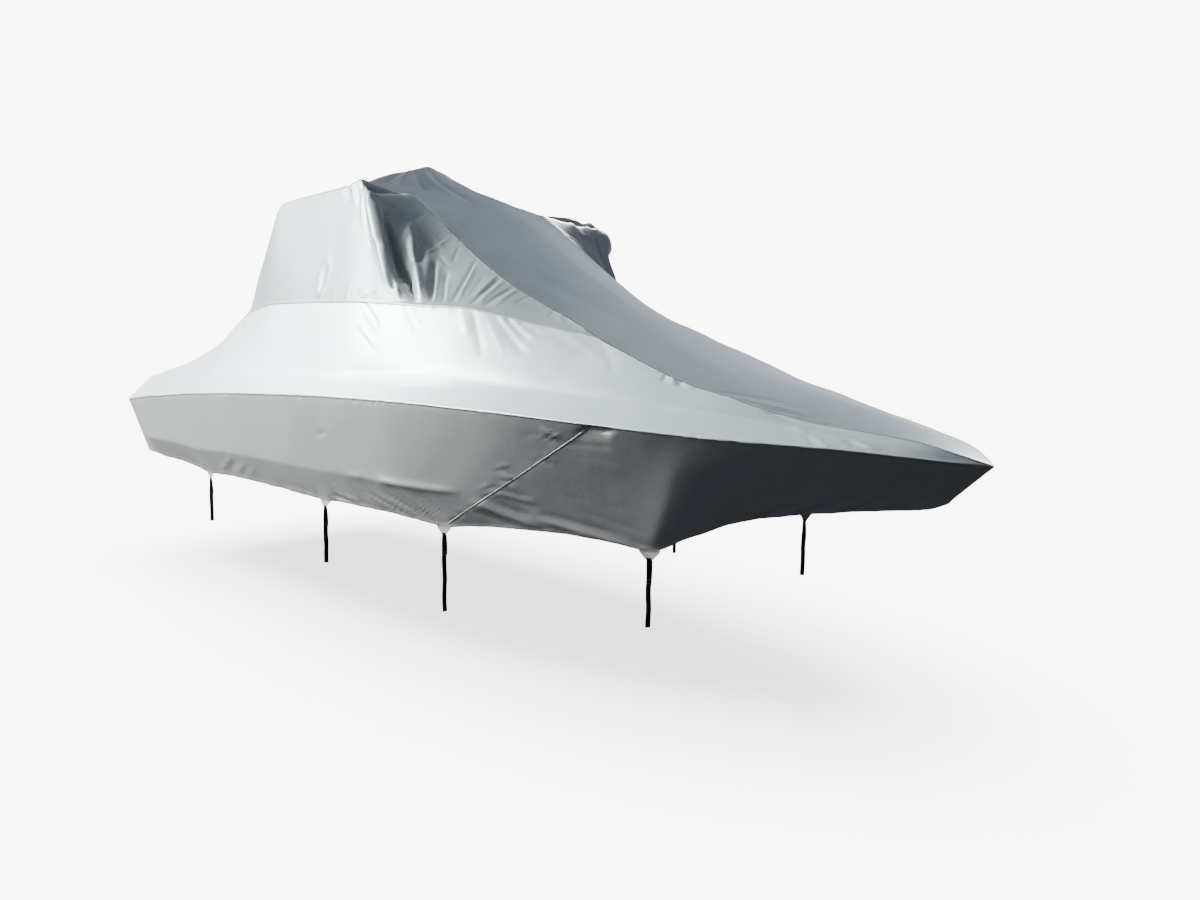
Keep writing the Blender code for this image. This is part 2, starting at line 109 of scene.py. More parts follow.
STRIP_SEAM = [
    (0.0, 0.8, 1.505), (0.65, 0.8, 1.618), (1.15, 0.8, 1.74), (1.55, 0.8, 1.885),
    (1.83, 0.8, 1.982), (1.935, 0.8, 2.18), (2.125, 0.8, 2.48), (2.29, 0.8, 2.735),
    (2.62, 0.8, 2.77), (2.95, 0.78, 2.752), (3.07, 0.72, 2.748), (3.15, 0.63, 2.742),
    (3.21, 0.56, 2.738), (3.3, 0.55, 2.691), (3.45, 0.55, 2.592), (3.65, 0.55, 2.463),
    (3.85, 0.55, 2.331), (4.05, 0.55, 2.209), (4.25, 0.55, 2.104), (4.45, 0.55, 2.021),
    (4.65, 0.55, 1.944), (4.87, 0.55, 1.838), (5.05, 0.547, 1.768), (5.25, 0.54, 1.69),
    (5.45, 0.525, 1.62), (5.65, 0.5, 1.573), (5.85, 0.455, 1.519), (6.05, 0.39, 1.475),
    (6.25, 0.307, 1.444), (6.45, 0.211, 1.41), (6.55, 0.15, 1.378), (6.65, 0.05, 1.332),
    (6.695, 0.0, 1.31),
]
CENTRE = [
    (0.0, 0.0, 1.505), (0.65, 0.0, 1.625), (1.15, 0.0, 1.735), (1.55, 0.0, 1.885),
    (1.83, 0.0, 2.0), (1.935, 0.0, 2.2), (2.125, 0.0, 2.5), (2.29, 0.0, 2.78),
    (2.45, 0.0, 2.93), (2.62, 0.0, 3.07), (2.85, 0.0, 2.94), (3.11, 0.0, 2.83),
    (3.35, 0.0, 2.74), (3.55, 0.0, 2.645), (3.74, 0.0, 2.545), (3.95, 0.0, 2.415),
    (4.15, 0.0, 2.295), (4.37, 0.0, 2.17), (4.55, 0.0, 2.07), (4.75, 0.0, 1.96),
    (4.95, 0.0, 1.87), (5.15, 0.0, 1.79), (5.45, 0.0, 1.685), (5.75, 0.0, 1.61),
    (6.05, 0.0, 1.537), (6.25, 0.0, 1.487), (6.45, 0.0, 1.426), (6.55, 0.0, 1.383),
    (6.65, 0.0, 1.335), (6.695, 0.0, 1.31),
]
LINES = [GUNWALE, CREASE, TOWER_BASE, TOWER_EDGE, STRIP_SEAM, CENTRE]
SEAM_GIRTH = 4
# How the strip is rounded across: station, power (1 is a straight-sided tent).
CROWN = [(2.20, 1.40), (2.62, 1.05), (3.20, 1.50)]
# How the skirt's upper edge is matched to its hem: gunwale station, hem station.
SKIRT_MATCH = [
    (0.0, 0.12), (1.35, 1.39), (3.25, 3.04), (5.29, 4.16), (5.75, 5.37), (6.695, 6.505),
]
CHINE_AT = 0.70
CHINE_OUT = 0.040
CHINE_SOFT = 0.12           # how freely the cloth rounds off over it
CHINE_STARTS = 0.30
CHINE_FADES = (3.90, 4.75)

# Rows of the fine mesh along the hull: start, end, cells.
ROW_SPANS = [
    (0.0, 1.83, 62), (1.83, 2.33, 28), (2.33, 3.1, 40), (3.1, 3.35, 20),
    (3.35, 4.6, 156), (4.6, 4.87, 20), (4.87, 5.75, 84), (5.75, 6.45, 40),
    (6.45, 6.695, 16),
]
# Columns of the plain section between neighbouring lines.
RAW_CELLS = [14, 30, 84, 36, 60]
SOFTEN_ROUNDS = 9

# Folds above the gunwale: station and girth of both ends, and in millimetres the width at
# both ends and how far they stand out of the cloth (in, below 0). They spring from their
# first end.
TOWER_FOLDS = [
    # the trough and ridges down from the tower's front corner
    (3.44, 3.2, 3.82, 2.22, 26, 18, -70), (3.33, 2.99, 3.63, 2.98, 22, 16, 14),
    (3.38, 3.06, 3.7, 2.28, 50, 34, 26), (3.55, 3.05, 3.69, 2.52, 14, 10, -12),
    (3.57, 3.11, 3.73, 2.2, 16, 11, 14), (3.51, 3.48, 3.87, 2.16, 36, 38, 46),
    (3.48, 3.56, 3.54, 3.3, 16, 20, 14), (3.48, 3.56, 3.59, 3.55, 14, 22, 9),
    (3.6, 3.64, 3.9, 2.18, 60, 44, 22), (3.71, 3.56, 3.93, 2.18, 34, 24, -26),
    (3.74, 3.52, 3.95, 2.12, 20, 14, 18), (3.82, 3.42, 4.0, 2.18, 18, 12, -12),
    (3.86, 3.3, 4.02, 2.16, 14, 12, 8),
    # folds from the strip's seam down to the tower's base
    (3.89, 3.86, 4.05, 2.14, 12, 12, -9.9), (3.91, 3.8, 4.08, 2.18, 14, 12, 8.3),
    (4.01, 3.7, 4.1, 2.6, 14, 12, -2.8), (4.09, 3.9, 4.16, 2.1, 20, 12, -9.9),
    (4.06, 3.84, 4.12, 2.8, 14, 12, 5), (4.12, 3.86, 4.2, 2.16, 15, 12, 7.2),
    (4.2, 3.9, 4.23, 2.24, 15, 10, -8.3), (4.23, 3.86, 4.28, 2.3, 12, 11, 5),
    (4.32, 3.97, 4.34, 3.0, 13, 10, -3.3), (4.52, 3.97, 4.55, 3.1, 14, 10, -3.3),
    (4.57, 3.97, 4.62, 3.0, 14, 10, 3.3), (4.62, 3.97, 4.66, 3.1, 12, 10, -2.8),
    (4.72, 3.95, 4.78, 3.0, 12, 10, 2.8), (4.78, 3.95, 4.83, 3.0, 10, 10, -2.2),
    # crossing creases on the tower's front
    (3.65, 3.93, 3.64, 3.5, 9, 14, 7), (3.67, 3.66, 3.81, 3.53, 9, 12, -6),
    (3.56, 3.76, 3.72, 3.74, 9, 12, 4), (3.44, 3.8, 3.5, 3.4, 14, 18, -5),
    (3.74, 3.9, 3.8, 3.6, 10, 13, -5), (3.38, 3.3, 3.44, 3.52, 16, 20, 7),
    # small folds behind the corner, under the eave
    (3.09, 2.99, 3.16, 2.86, 10, 14, -7), (3.15, 2.99, 3.24, 2.8, 10, 15, 8),
    (3.19, 3.0, 3.28, 2.78, 10, 16, -8), (3.02, 2.99, 3.08, 2.9, 10, 12, 4),
    (3.26, 2.96, 3.34, 2.7, 12, 18, 6), (3.3, 2.92, 3.46, 2.6, 10, 18, -4),
    # puckers along the tower's base
    (2.4, 2.02, 2.42, 2.1, 12, 16, 3.7), (3.12, 2.02, 3.14, 2.09, 12, 14, 3.7),
    (3.27, 2.02, 3.3, 2.13, 12, 16, 4.5), (3.36, 2.03, 3.4, 2.12, 10, 14, -3),
    (3.43, 2.02, 3.46, 2.14, 12, 16, 4.5), (3.52, 2.02, 3.52, 2.18, 12, 18, -3.7),
    (3.58, 2.02, 3.57, 2.22, 12, 18, 4.5),
]
DECK_FOLDS = [
    # below the tower's base seam
    (3.46, 1.97, 3.6, 1.72, 8, 14, -6.8), (3.49, 1.97, 3.66, 1.66, 8, 16, 5.9),
    (3.44, 1.82, 3.6, 1.55, 11, 16, -5.9), (3.42, 1.72, 3.6, 1.42, 11, 18, 5.9),
    (3.45, 1.6, 3.62, 1.36, 11, 16, -4.5), (3.77, 1.97, 3.9, 1.66, 10, 14, -6.8),
    (3.8, 1.97, 3.94, 1.68, 10, 13, 5.3), (4.13, 1.97, 4.24, 1.66, 18, 34, 5.4),
    (4.2, 1.97, 4.38, 1.4, 14, 30, -5.4), (4.27, 1.97, 4.5, 1.46, 10, 22, 3.5),
    (4.32, 1.97, 4.6, 1.52, 8, 15, -6.2), (4.35, 1.97, 4.62, 1.6, 7, 12, 4.9),
    (4.38, 1.98, 4.56, 1.72, 8, 14, -7.4), (4.42, 1.98, 4.62, 1.76, 8, 13, 5.9),
    (4.45, 1.98, 4.6, 1.84, 8, 11, -4.5), (4.58, 1.98, 4.78, 1.76, 8, 14, -3.8),
    (4.7, 1.98, 4.98, 1.72, 10, 18, 3.8), (4.88, 1.97, 5.1, 1.6, 11, 24, -3.8),
    # the knuckle between the deck and the band above the gunwale
    (3.4, 1.1, 4.7, 1.1, 45, 45, -9), (4.3, 1.09, 5.6, 1.03, 45, 45, -8),
    (5.2, 1.0, 6.3, 1.0, 60, 45, 10),
    # along the foredeck
    (5.3, 1.98, 5.33, 1.8, 10, 14, -6), (5.34, 1.98, 5.38, 1.8, 10, 14, 6),
    (5.39, 1.98, 5.42, 1.82, 10, 14, -6), (5.44, 1.98, 5.47, 1.84, 10, 14, 5),
    (5.84, 1.98, 6.0, 1.6, 12, 20, -4), (6.02, 1.2, 6.14, 0.6, 12, 18, 5),
    (6.08, 0.95, 6.17, 0.15, 10, 14, -7), (6.12, 0.7, 6.21, 0.06, 9, 12, 6),
    (6.22, 0.95, 6.3, 0.45, 12, 16, -7), (6.27, 0.8, 6.36, 0.36, 10, 14, 5),
    (1.2, 1.12, 1.28, 1.04, 12, 14, -4), (1.0, 1.6, 1.6, 1.3, 50, 70, -4),
    (0.2, 2.6, 0.8, 1.3, 50, 70, 5), (0.6, 3.4, 1.7, 2.4, 60, 80, -5),
]
STRIP_FOLDS = [
    # from the peak
    (2.66, 4.9, 3.29, 4.5, 12, 34, 13), (2.68, 4.96, 3.42, 4.62, 12, 42, -13),
    (2.66, 4.84, 3.16, 4.38, 12, 36, -13), (2.64, 4.8, 2.92, 4.42, 12, 30, 10),
    (2.62, 4.78, 2.78, 4.36, 12, 28, -11), (2.6, 4.8, 2.64, 4.4, 12, 28, 9),
    (2.66, 4.97, 3.1, 4.84, 10, 22, 9), (2.6, 4.86, 2.5, 4.4, 14, 30, -8),
    (2.6, 4.94, 2.38, 4.8, 14, 30, -8), (2.61, 4.96, 2.3, 4.93, 12, 28, 6),
    # at the eave and along the seam
    (3.0, 4.04, 3.02, 4.4, 12, 18, -8), (3.08, 4.04, 3.12, 4.34, 10, 16, 6),
    (2.9, 4.06, 2.94, 4.5, 12, 22, 6), (2.8, 4.06, 2.86, 4.44, 12, 20, -6),
    (3.24, 4.03, 3.34, 4.3, 10, 14, -6), (3.44, 4.02, 3.54, 4.22, 10, 14, 6),
    (3.52, 4.02, 3.62, 4.2, 10, 14, -6), (3.66, 4.02, 3.8, 4.22, 12, 16, 5),
    (5.58, 4.04, 5.84, 4.34, 14, 20, -6), (5.66, 4.02, 5.96, 4.22, 12, 16, 5),
    (5.8, 4.02, 6.04, 4.14, 10, 14, -4), (4.1, 4.3, 4.9, 4.6, 60, 90, -4),
    (4.6, 4.8, 5.6, 4.6, 80, 110, 4), (0.5, 4.3, 1.6, 4.7, 80, 120, -6),
    (0.3, 4.8, 1.4, 4.5, 70, 100, 5),
]
# The recess under the strip's edge at the tower's front corner.
EAVE_FOLDS = [
    (3.3, 3.06, 3.21, 3.9, 40, 22, -85), (3.22, 3.02, 3.16, 3.9, 15, 15, 12),
    (3.345, 2.98, 3.355, 3.18, 10, 9, 12), (3.375, 3.0, 3.38, 3.16, 9, 8, -8),
]
# Folds on the skirts: gunwale station and part of both ends, widths and depth as above.
SKIRT_FOLDS = [
    # the pocket where the diagonal seam meets the gunwale
    (5.28, 0.038, 5.41, 0.04, 14, 11, -45), (5.27, 0.085, 5.42, 0.08, 34, 26, -10),
    (5.28, 0.155, 5.48, 0.16, 11, 13, -5), (5.08, 0.085, 5.24, 0.135, 13, 10, 8),
    (5.13, 0.125, 5.25, 0.165, 9, 8, -6), (5.04, 0.13, 5.12, 0.11, 12, 10, -2),
    # beside the diagonal seam
    (5.09, 0.405, 5.16, 0.39, 10, 10, 4.4), (5.1, 0.43, 5.17, 0.415, 9, 9, -3.9),
    (5.19, 0.48, 5.3, 0.485, 10, 10, 4.4), (5.2, 0.505, 5.31, 0.51, 9, 9, -4.4),
    (5.14, 0.59, 5.21, 0.57, 9, 9, 3.3), (5.25, 0.235, 5.32, 0.25, 10, 10, 2.8),
    (5.26, 0.275, 5.36, 0.32, 10, 10, 3.9), (5.25, 0.3, 5.35, 0.345, 9, 10, -3.9),
    (5.19, 0.82, 5.31, 0.835, 10, 10, 3.3), (5.19, 0.85, 5.31, 0.86, 9, 10, -2.8),
    # from the foot of the diagonal seam along the hem
    (5.24, 0.73, 5.53, 0.975, 15, 28, 10.7), (5.25, 0.79, 5.48, 0.98, 12, 18, -5.9),
    (5.25, 0.67, 5.48, 0.86, 12, 24, -7.1), (5.19, 0.58, 5.42, 0.67, 10, 18, -4.8),
    (5.22, 0.61, 5.46, 0.72, 10, 18, 4.2), (5.22, 0.64, 5.48, 0.77, 10, 18, -3.6),
    (5.5, 0.88, 5.71, 0.985, 24, 16, 9.6), (5.5, 0.82, 5.7, 0.92, 20, 16, -5.4),
    (5.5, 0.62, 5.68, 0.71, 12, 12, -2.3), (5.55, 0.65, 5.7, 0.73, 12, 12, 2.3),
    (5.58, 0.76, 5.74, 0.86, 10, 12, -2.3), (5.44, 0.3, 5.6, 0.36, 20, 26, 1.9),
    # the turn of the skirt at the front tab
    (5.76, 0.98, 5.71, 0.1, 50, 130, 8), (5.85, 0.95, 5.86, 0.2, 16, 30, -5),
    # ripples along the bow's hem
    (6.04, 1.0, 6.14, 0.84, 10, 14, 4), (6.12, 1.0, 6.21, 0.82, 10, 14, -5),
    (6.2, 1.0, 6.3, 0.8, 10, 14, 5), (6.28, 1.0, 6.37, 0.78, 10, 14, -5),
    (6.35, 1.0, 6.44, 0.76, 10, 14, 5), (6.42, 1.0, 6.5, 0.74, 10, 13, -5),
    (6.49, 1.0, 6.56, 0.7, 10, 13, 5), (6.56, 1.0, 6.62, 0.68, 9, 12, -4),
    # towards the tab at the foot of the diagonal seam
    (5.09, 0.945, 4.4, 0.73, 8, 14, 5), (4.98, 0.95, 4.21, 0.78, 8, 14, -5),
    (4.87, 0.96, 4.1, 0.82, 8, 14, 4), (4.7, 0.98, 4.06, 0.84, 8, 12, -5),
    (5.11, 0.89, 4.66, 0.74, 8, 14, -4), (4.6, 0.97, 3.98, 0.86, 8, 12, 4),
    (4.5, 0.99, 3.8, 0.95, 8, 10, -3),
    # the chine's end, up to the diagonal seam
    (3.7, 0.7, 4.4, 0.69, 30, 24, 6), (4.2, 0.695, 5.05, 0.665, 24, 18, 12),
    # beside the middle tab
    (3.94, 0.95, 3.46, 0.9, 10, 12, 5), (3.8, 0.98, 3.4, 0.93, 9, 11, -5),
    (3.7, 1.0, 3.38, 0.96, 8, 10, 4), (3.64, 0.9, 3.44, 0.82, 10, 12, 4),
    (3.18, 1.0, 2.9, 0.95, 9, 12, 4), (3.16, 1.0, 2.8, 0.91, 9, 12, -4),
    (3.22, 0.36, 3.34, 0.33, 14, 14, -4),
    # above the rear tab
    (1.63, 0.93, 1.93, 0.74, 21, 26, 3.6), (1.72, 0.95, 2.02, 0.77, 18, 21, -2.6),
    (1.93, 0.93, 2.14, 0.78, 18, 21, 3), (2.0, 0.95, 2.2, 0.81, 16, 18, -2),
    (2.14, 0.93, 2.3, 0.82, 16, 18, 2), (1.3, 1.0, 0.9, 0.9, 16, 23, -1.7),
    (1.24, 1.0, 0.7, 0.94, 13, 21, 1.3), (0.3, 0.98, 0.12, 0.6, 26, 39, 1.7),
]
# The dent on the tower's side: the middle's station and girth, half height, half width.
DENT = (2.97, 2.21, 0.105, 0.048)
DENT_TILT = 12.0            # degrees
DENT_RIM = 0.0045
DENT_BOWL = -0.0040
DENT_CREASES = 0.0035
# Where the port side differs: station, half width, height, radius, shift outboard, shift up.
PORT_SHIFTS = [
    (3.2, 0.92, 2.82, 0.12, 0.0, -0.055),
    (3.26, 0.94, 2.65, 0.12, 0.15, 0.0),
    (3.28, 0.98, 2.53, 0.14, 0.18, -0.01),
    (4.45, 0.6, 2.0, 0.42, 0.0, -0.045),
    (6.4, 0.25, 1.42, 0.25, 0.0, -0.015),
]

# Where the cloth is drawn sharp over what is under it: station, half width, height,
# radius, and how sharp it stays (1 is as sharp as its lines).
CRISP = [
    (2.62, 0.0, 3.07, 0.3, 0.95), (3.23, 0.94, 2.78, 0.22, 0.8), (3.16, 0.62, 2.75, 0.16, 0.8),
    (2.29, 0.95, 2.72, 0.22, 0.7), (3.35, 0.94, 2.65, 0.16, 0.6), (6.66, 0.0, 1.32, 0.16, 0.8),
]

# The creases over what stands out at the tower's port edge: station, half width, height, radius.
CRUMPLE_AT = (3.27, 0.96, 2.62, 0.20)
CRUMPLE = 0.020

# Seams: the upper panel laps over the lower one and is stitched twice.
LAP = 0.010
LAP_ROWS = 3                # rows of the mesh that a lap along the hull takes
LAP_LIFT = 0.0015
LAP_FADE = 0.014            # how far inside its edge the lap has come down
WELT = 0.0010               # how far the cloth stands up along a seam
WELT_AT = 0.003             # where it does, from the seam
DITCH_AT = 0.017            # and where it falls in
PUCKER = 0.0042             # depth of the gathers beside a seam
GUNWALE_GROOVE = 0.0014     # how far the skirt falls in below the gunwale's edge

FOLD_STEPS = 13             # points along a fold
FOLD_REACH = 0.12           # how far from a fold its skin is looked for
FOLD_CREST = 0.35           # how round a fold's crest is, as a share of its width
PORT_FOLDS = 0.8            # the folds on the port side are this much as deep

# Smooth random values: cell, seed and height of each size.
SLACK = [(0.42, 11, 0.0030), (0.19, 12, 0.0012), (0.085, 13, 0.0004)]
GATHERS = [(0.034, 0, 1.0), (0.019, 1, 0.6)]
RUFFLE = [(0.11, 9, 0.004), (0.05, 8, 0.002)]
SCATTER = np.array((73856093, 19349663, 83492791))   # mixes a cell's three numbers

SHEET = 0.0014              # thickness of the cloth as shown
MERGE = 0.0003              # points this close are one
SKIRT_CELLS = 60            # columns of the whole skin's skirt
# Even cells across each panel, between the close ones beside its seams.
ACROSS = {"skirt": 50, "deck": 40, "beside_strip": 44, "tower": 86, "strip": 70}
SEEDS = {-1: 40, 1: 70}     # for each side's gathers
STRIP_SEED = 90
TRANSOM_SEED = 22
TRANSOM_CELLS = 96
TRANSOM_ROWS = 30
# The transom skirt's waves: cell, seed and height. They are longer downwards, because
# heights count for less in them.
HANGING = (0.16, 21, 0.009)
HANGING_LONG = 0.22
# Distances from a seam where a panel's columns, and the whole skin's rows, lie close together.
SEAM_STEPS = [0.0, 0.003, 0.006, 0.009, 0.013, 0.018, 0.026]
SEAM_ROWS = np.array([-0.026, -0.017, -0.011, -0.0075, -0.004, 0.0, 0.004, 0.008, 0.013, 0.021])
HEM_BAND = 0.024            # the hem's turned-up cloth
HEM_EDGE = 0.003            # the width of its step, on which it is stitched
HEM_LIFT = 0.0012
RUFFLE_REACH = 0.07         # how far up from the hem its ruffle reaches


def column(rows, number, stations):
    """A column of a table at many stations, on a smooth curve that never overshoots."""
    table = np.array(rows)
    places, values = table[:, 0], table[:, number]
    steps = np.diff(places)
    slopes = np.diff(values) / steps
    tangents = np.zeros(len(values))
    tangents[0], tangents[-1] = slopes[0], slopes[-1]
    before, after = slopes[:-1], slopes[1:]
    same = before * after > 0.0
    tangents[1:-1][same] = 2.0 * before[same] * after[same] / (before[same] + after[same])
    inside = np.clip(stations, places[0], places[-1])
    row = np.clip(np.searchsorted(places, inside, side="right") - 1, 0, len(steps) - 1)
    part = (inside - places[row]) / steps[row]
    rise = values[row + 1] - values[row]
    start = part * (1.0 - part) ** 2 * tangents[row] * steps[row]
    end = part ** 2 * (part - 1.0) * tangents[row + 1] * steps[row]
    return values[row] + rise * part ** 2 * (3.0 - 2.0 * part) + start + end


def line_at(rows, stations):
    """Half widths and heights of a line. The tower's lines end in the strip's seam."""
    half = column(rows, 1, stations)
    height = column(rows, 2, stations)
    if rows in (TOWER_BASE, TOWER_EDGE):
        past = stations >= TOWER_TIP
        half = np.where(past, column(STRIP_SEAM, 1, stations), half)
        height = np.where(past, column(STRIP_SEAM, 2, stations), height)
    return half, height


def placed(stations, across, heights):
    """Points in the model's frame."""
    return np.stack([stations - PEAK_STATION, across, heights - PEAK_HEIGHT + CLOTH], axis=-1)


def hill(values, middle, width):
    """1 at the middle, and down to 0 on both sides of it over about a width."""
    return np.exp(-((values - middle) / width) ** 2)


def nearness(points, station, half, height, radius):
    """1 at a place, given as in the tables, and down to 0 round it over about a radius."""
    middle = placed(np.array(station), np.array(half), np.array(height))
    return hill(np.linalg.norm(points - middle, axis=-1), 0.0, radius)


def upper_points(stations, girths, side):
    """Points of the plain surface above the gunwale. Side is -1 starboard, 1 port."""
    lower = np.clip(girths.astype(int), 0, SEAM_GIRTH)
    part = girths - lower
    halves, heights = np.zeros((len(LINES), len(stations))), np.zeros((len(LINES), len(stations)))
    for number, rows in enumerate(LINES):
        halves[number], heights[number] = line_at(rows, stations)
    each = np.arange(len(stations))
    power = np.interp(stations, *np.array(CROWN).T)
    rise = np.where(lower == SEAM_GIRTH, 1.0 - np.abs(1.0 - part) ** power, part)
    half = halves[lower, each] * (1.0 - part) + halves[lower + 1, each] * part
    height = heights[lower, each] * (1.0 - rise) + heights[lower + 1, each] * rise
    return placed(stations, side * half, height)


def skirt_points(stations, parts, side):
    """Points of the plain skirt, from the gunwale 0 to the hem 1."""
    gunwale, hem = np.array(SKIRT_MATCH).T
    matched = np.interp(stations, gunwale, hem)
    top_half, top_height = line_at(GUNWALE, stations)
    hem_half, hem_height = line_at(HEM, matched)
    along = stations + (matched - stations) * parts
    fade = np.interp(along, CHINE_FADES, (1.0, 0.0)) * np.minimum(1.0, stations / CHINE_STARTS)
    rounded = np.minimum(parts / CHINE_AT, (1.0 - parts) / (1.0 - CHINE_AT))
    half = top_half + (hem_half - top_half) * parts + CHINE_OUT * fade * rounded
    return placed(along, side * half, top_height + (hem_height - top_height) * parts)


def spans(table):
    """The values that a table of start, end and cells gives, ends included."""
    found = [table[0][0]]
    for start, end, cells in table:
        found += list(start + (end - start) * np.arange(1, cells + 1) / cells)
    return np.array(found)


def soften(grid, rounds, pull):
    """Rounds off a grid's creases. Pull is how freely each point moves, from 0 to 1."""
    for _ in range(rounds):
        for axis in (0, 1):
            before = np.roll(grid, 1, axis)
            after = np.roll(grid, -1, axis)
            near = 1.0 / (np.linalg.norm(grid - before, axis=2) + 1e-5)
            far = 1.0 / (np.linalg.norm(after - grid, axis=2) + 1e-5)
            middle = (before * near[..., None] + after * far[..., None]) / (near + far)[..., None]
            moved = grid + (middle - grid) * 0.5 * pull[..., None]
            edge = [slice(None), slice(None)]
            for end in (0, -1):
                edge[axis] = end
                moved[tuple(edge)] = grid[tuple(edge)]
            grid = moved
    return grid


def normals_of(grid):
    """Unit normals of a grid of points, on the cover's outside."""
    found = np.cross(np.gradient(grid, axis=0), np.gradient(grid, axis=1))
    size = np.linalg.norm(found, axis=2)
    for number in range(1, grid.shape[1]):
        flat = size[:, number] < 1e-12
        found[flat, number] = found[flat, number - 1]
        size[flat, number] = size[flat, number - 1]
    return found / np.maximum(size, 1e-15)[..., None]


def value_noise(points, cell, seed):
    """Smooth random values from -1 to 1 that change over about a cell's length."""
    scaled = points / cell
    whole = np.floor(scaled).astype(np.int64)
    part = scaled - whole
    part = part * part * (3.0 - 2.0 * part)
    total = np.zeros(points.shape[:-1])
    for corner in np.ndindex(2, 2, 2):
        spot = whole + np.array(corner)
        mixed = np.bitwise_xor.reduce(spot * SCATTER, axis=-1)
        mixed = (mixed + seed * 2654435761) & 0x7FFFFFFF
        mixed = (mixed * 1103515245 + 12345) & 0x7FFFFFFF
        mixed = (mixed >> 8) % 4096 / 2047.5 - 1.0
        share = np.prod(np.where(np.array(corner) == 1, part, 1.0 - part), axis=-1)
        total += mixed * share
    return total


def noises(points, rows, seed):
    """Smooth random values of several sizes in all. A row is a cell, a seed and a height."""
    return sum(value_noise(points, cell, seed + own) * height for cell, own, height in rows)


def fold_path(fold, point_at, spots, outward, side):
    """Points along a fold, straight across the skin, and its width and depth at each.

    Spots and outward are the skin's points and their normals."""
    first, low, last, high, near, far, depth = fold
    ends = point_at(np.array([first, last]), np.array([low, high]), side)
    run = np.linspace(0.0, 1.0, FOLD_STEPS)
    path = ends[0] + (ends[1] - ends[0]) * run[:, None]
    reach = FOLD_REACH + np.linalg.norm(ends[1] - ends[0]) * 0.5
    close = np.nonzero((np.abs(spots - path.mean(axis=0)) < reach).all(axis=1))[0]
    for number, spot in enumerate(path):
        away = spots[close] - spot
        nearest = int(np.argmin((away * away).sum(axis=1)))
        normal = outward[close[nearest]]
        path[number] = spot + normal * (away[nearest] @ normal)
    width = near + (far - near) * run
    share = np.minimum(1.0, 0.45 + run * 5.0) * np.minimum(1.0, (1.0 - run) * 4.5 + 0.02)
    return path, width, depth * share


def add_folds(points, outward, folds, point_at, side, strength):
    """How far the folds move each point out."""
    flat, normals = points.reshape(-1, 3), outward.reshape(-1, 3)
    total = np.zeros(len(flat))
    own = np.nonzero(flat[:, 1] * side > -0.1)[0]
    flat, normals = flat[own], normals[own]
    for fold in folds:
        path, width, depth = fold_path(fold, point_at, flat, normals, side)
        reach = 3.0 * width.max()
        low, high = path.min(axis=0) - reach, path.max(axis=0) + reach
        near = np.nonzero(((flat > low) & (flat < high)).all(axis=1))[0]
        if len(near) == 0:
            continue
        spots = flat[near]
        best = np.full(len(near), 1e9)
        size = np.zeros(len(near))
        for number in range(len(path) - 1):
            start, run = path[number], path[number + 1] - path[number]
            along = np.clip((spots - start) @ run / max(run @ run, 1e-12), 0.0, 1.0)
            away = np.linalg.norm(spots - start - along[:, None] * run, axis=1)
            closer = away < best
            best = np.where(closer, away, best)
            wide = width[number] + (width[number + 1] - width[number]) * along
            deep = depth[number] + (depth[number + 1] - depth[number]) * along
            crest = np.sqrt((away / wide) ** 2 + FOLD_CREST ** 2) - FOLD_CREST
            size = np.where(closer, deep * np.exp(-1.6 * crest), size)
        total[own[near]] += size
    return total.reshape(points.shape[:-1]) * strength


def port_shift(points):
    """Moves the port side's points where it differs from the starboard side."""
    moved = np.zeros(points.shape)
    for station, half, height, radius, outboard, up in PORT_SHIFTS:
        share = nearness(points, station, half, height, radius)
        moved += share[..., None] * np.array((0.1 * outboard, outboard, up))
    return points + moved


def in_metres(folds):
    """Folds with their widths and depths in metres."""
    return [(*ends, near / 1000.0, far / 1000.0, depth / 1000.0) for *ends, near, far, depth in folds]


def varied(folds, seed, places):
    """The same folds elsewhere and of other depths, for the side that doesn't show."""
    random = np.random.default_rng(seed)
    found = []
    for first, low, last, high, near, far, depth in folds:
        shift = random.uniform(-places, places)
        depth *= random.uniform(0.35, 0.95)
        found.append((first + shift, low, last + shift, high, near, far, depth))
    return found


def whole_skin():
    """The plain cover from the starboard hem over the centre to the port hem, softened.

    Gives the points, the rows' stations and the starboard half's girths, in which the
    skirt's parts run below 0."""
    along = spans(ROW_SPANS)
    along = np.unique(np.concatenate([along, TOWER_REAR + SEAM_ROWS, SKIRT_SPLIT + SEAM_ROWS]))
    girths = [-1.0 + step / SKIRT_CELLS for step in range(SKIRT_CELLS)]
    for number, cells in enumerate(RAW_CELLS):
        girths += [number + step / cells for step in range(cells)]
    girths = np.array(girths + [len(LINES) - 1.0])
    half = np.zeros((len(along), len(girths), 3))
    for number, girth in enumerate(girths):
        if girth < 0.0:
            half[:, number] = skirt_points(along, -girth, -1)
        else:
            half[:, number] = upper_points(along, np.full(len(along), girth), -1)
    skin = np.concatenate([half, half[:, -2::-1] * np.array((1.0, -1.0, 1.0))], axis=1)
    gunwale = int(np.argmin(np.abs(girths)))
    pull = np.ones(skin.shape[:2])
    for station, half, height, radius, crisp in CRISP:
        for side in (-1.0, 1.0):
            pull = np.minimum(pull, 1.0 - crisp * nearness(skin, station, side * half, height, radius))
    chine = np.minimum(1.0, np.abs(girths + CHINE_AT) * 4.0 + CHINE_SOFT)
    chine = np.concatenate([chine, chine[-2::-1]])
    pull *= np.where(along < CHINE_FADES[0], 0.0, 1.0)[:, None] * (1.0 - chine) + chine
    pull[:, [0, gunwale, -1 - gunwale, -1]] = 0.0
    pull[[0, -1], :] = 0.0
    skin = soften(skin, SOFTEN_ROUNDS, pull)
    port = skin[..., 1] > 0.0
    skin = np.where(port[..., None], port_shift(skin), skin)
    return skin, along, girths


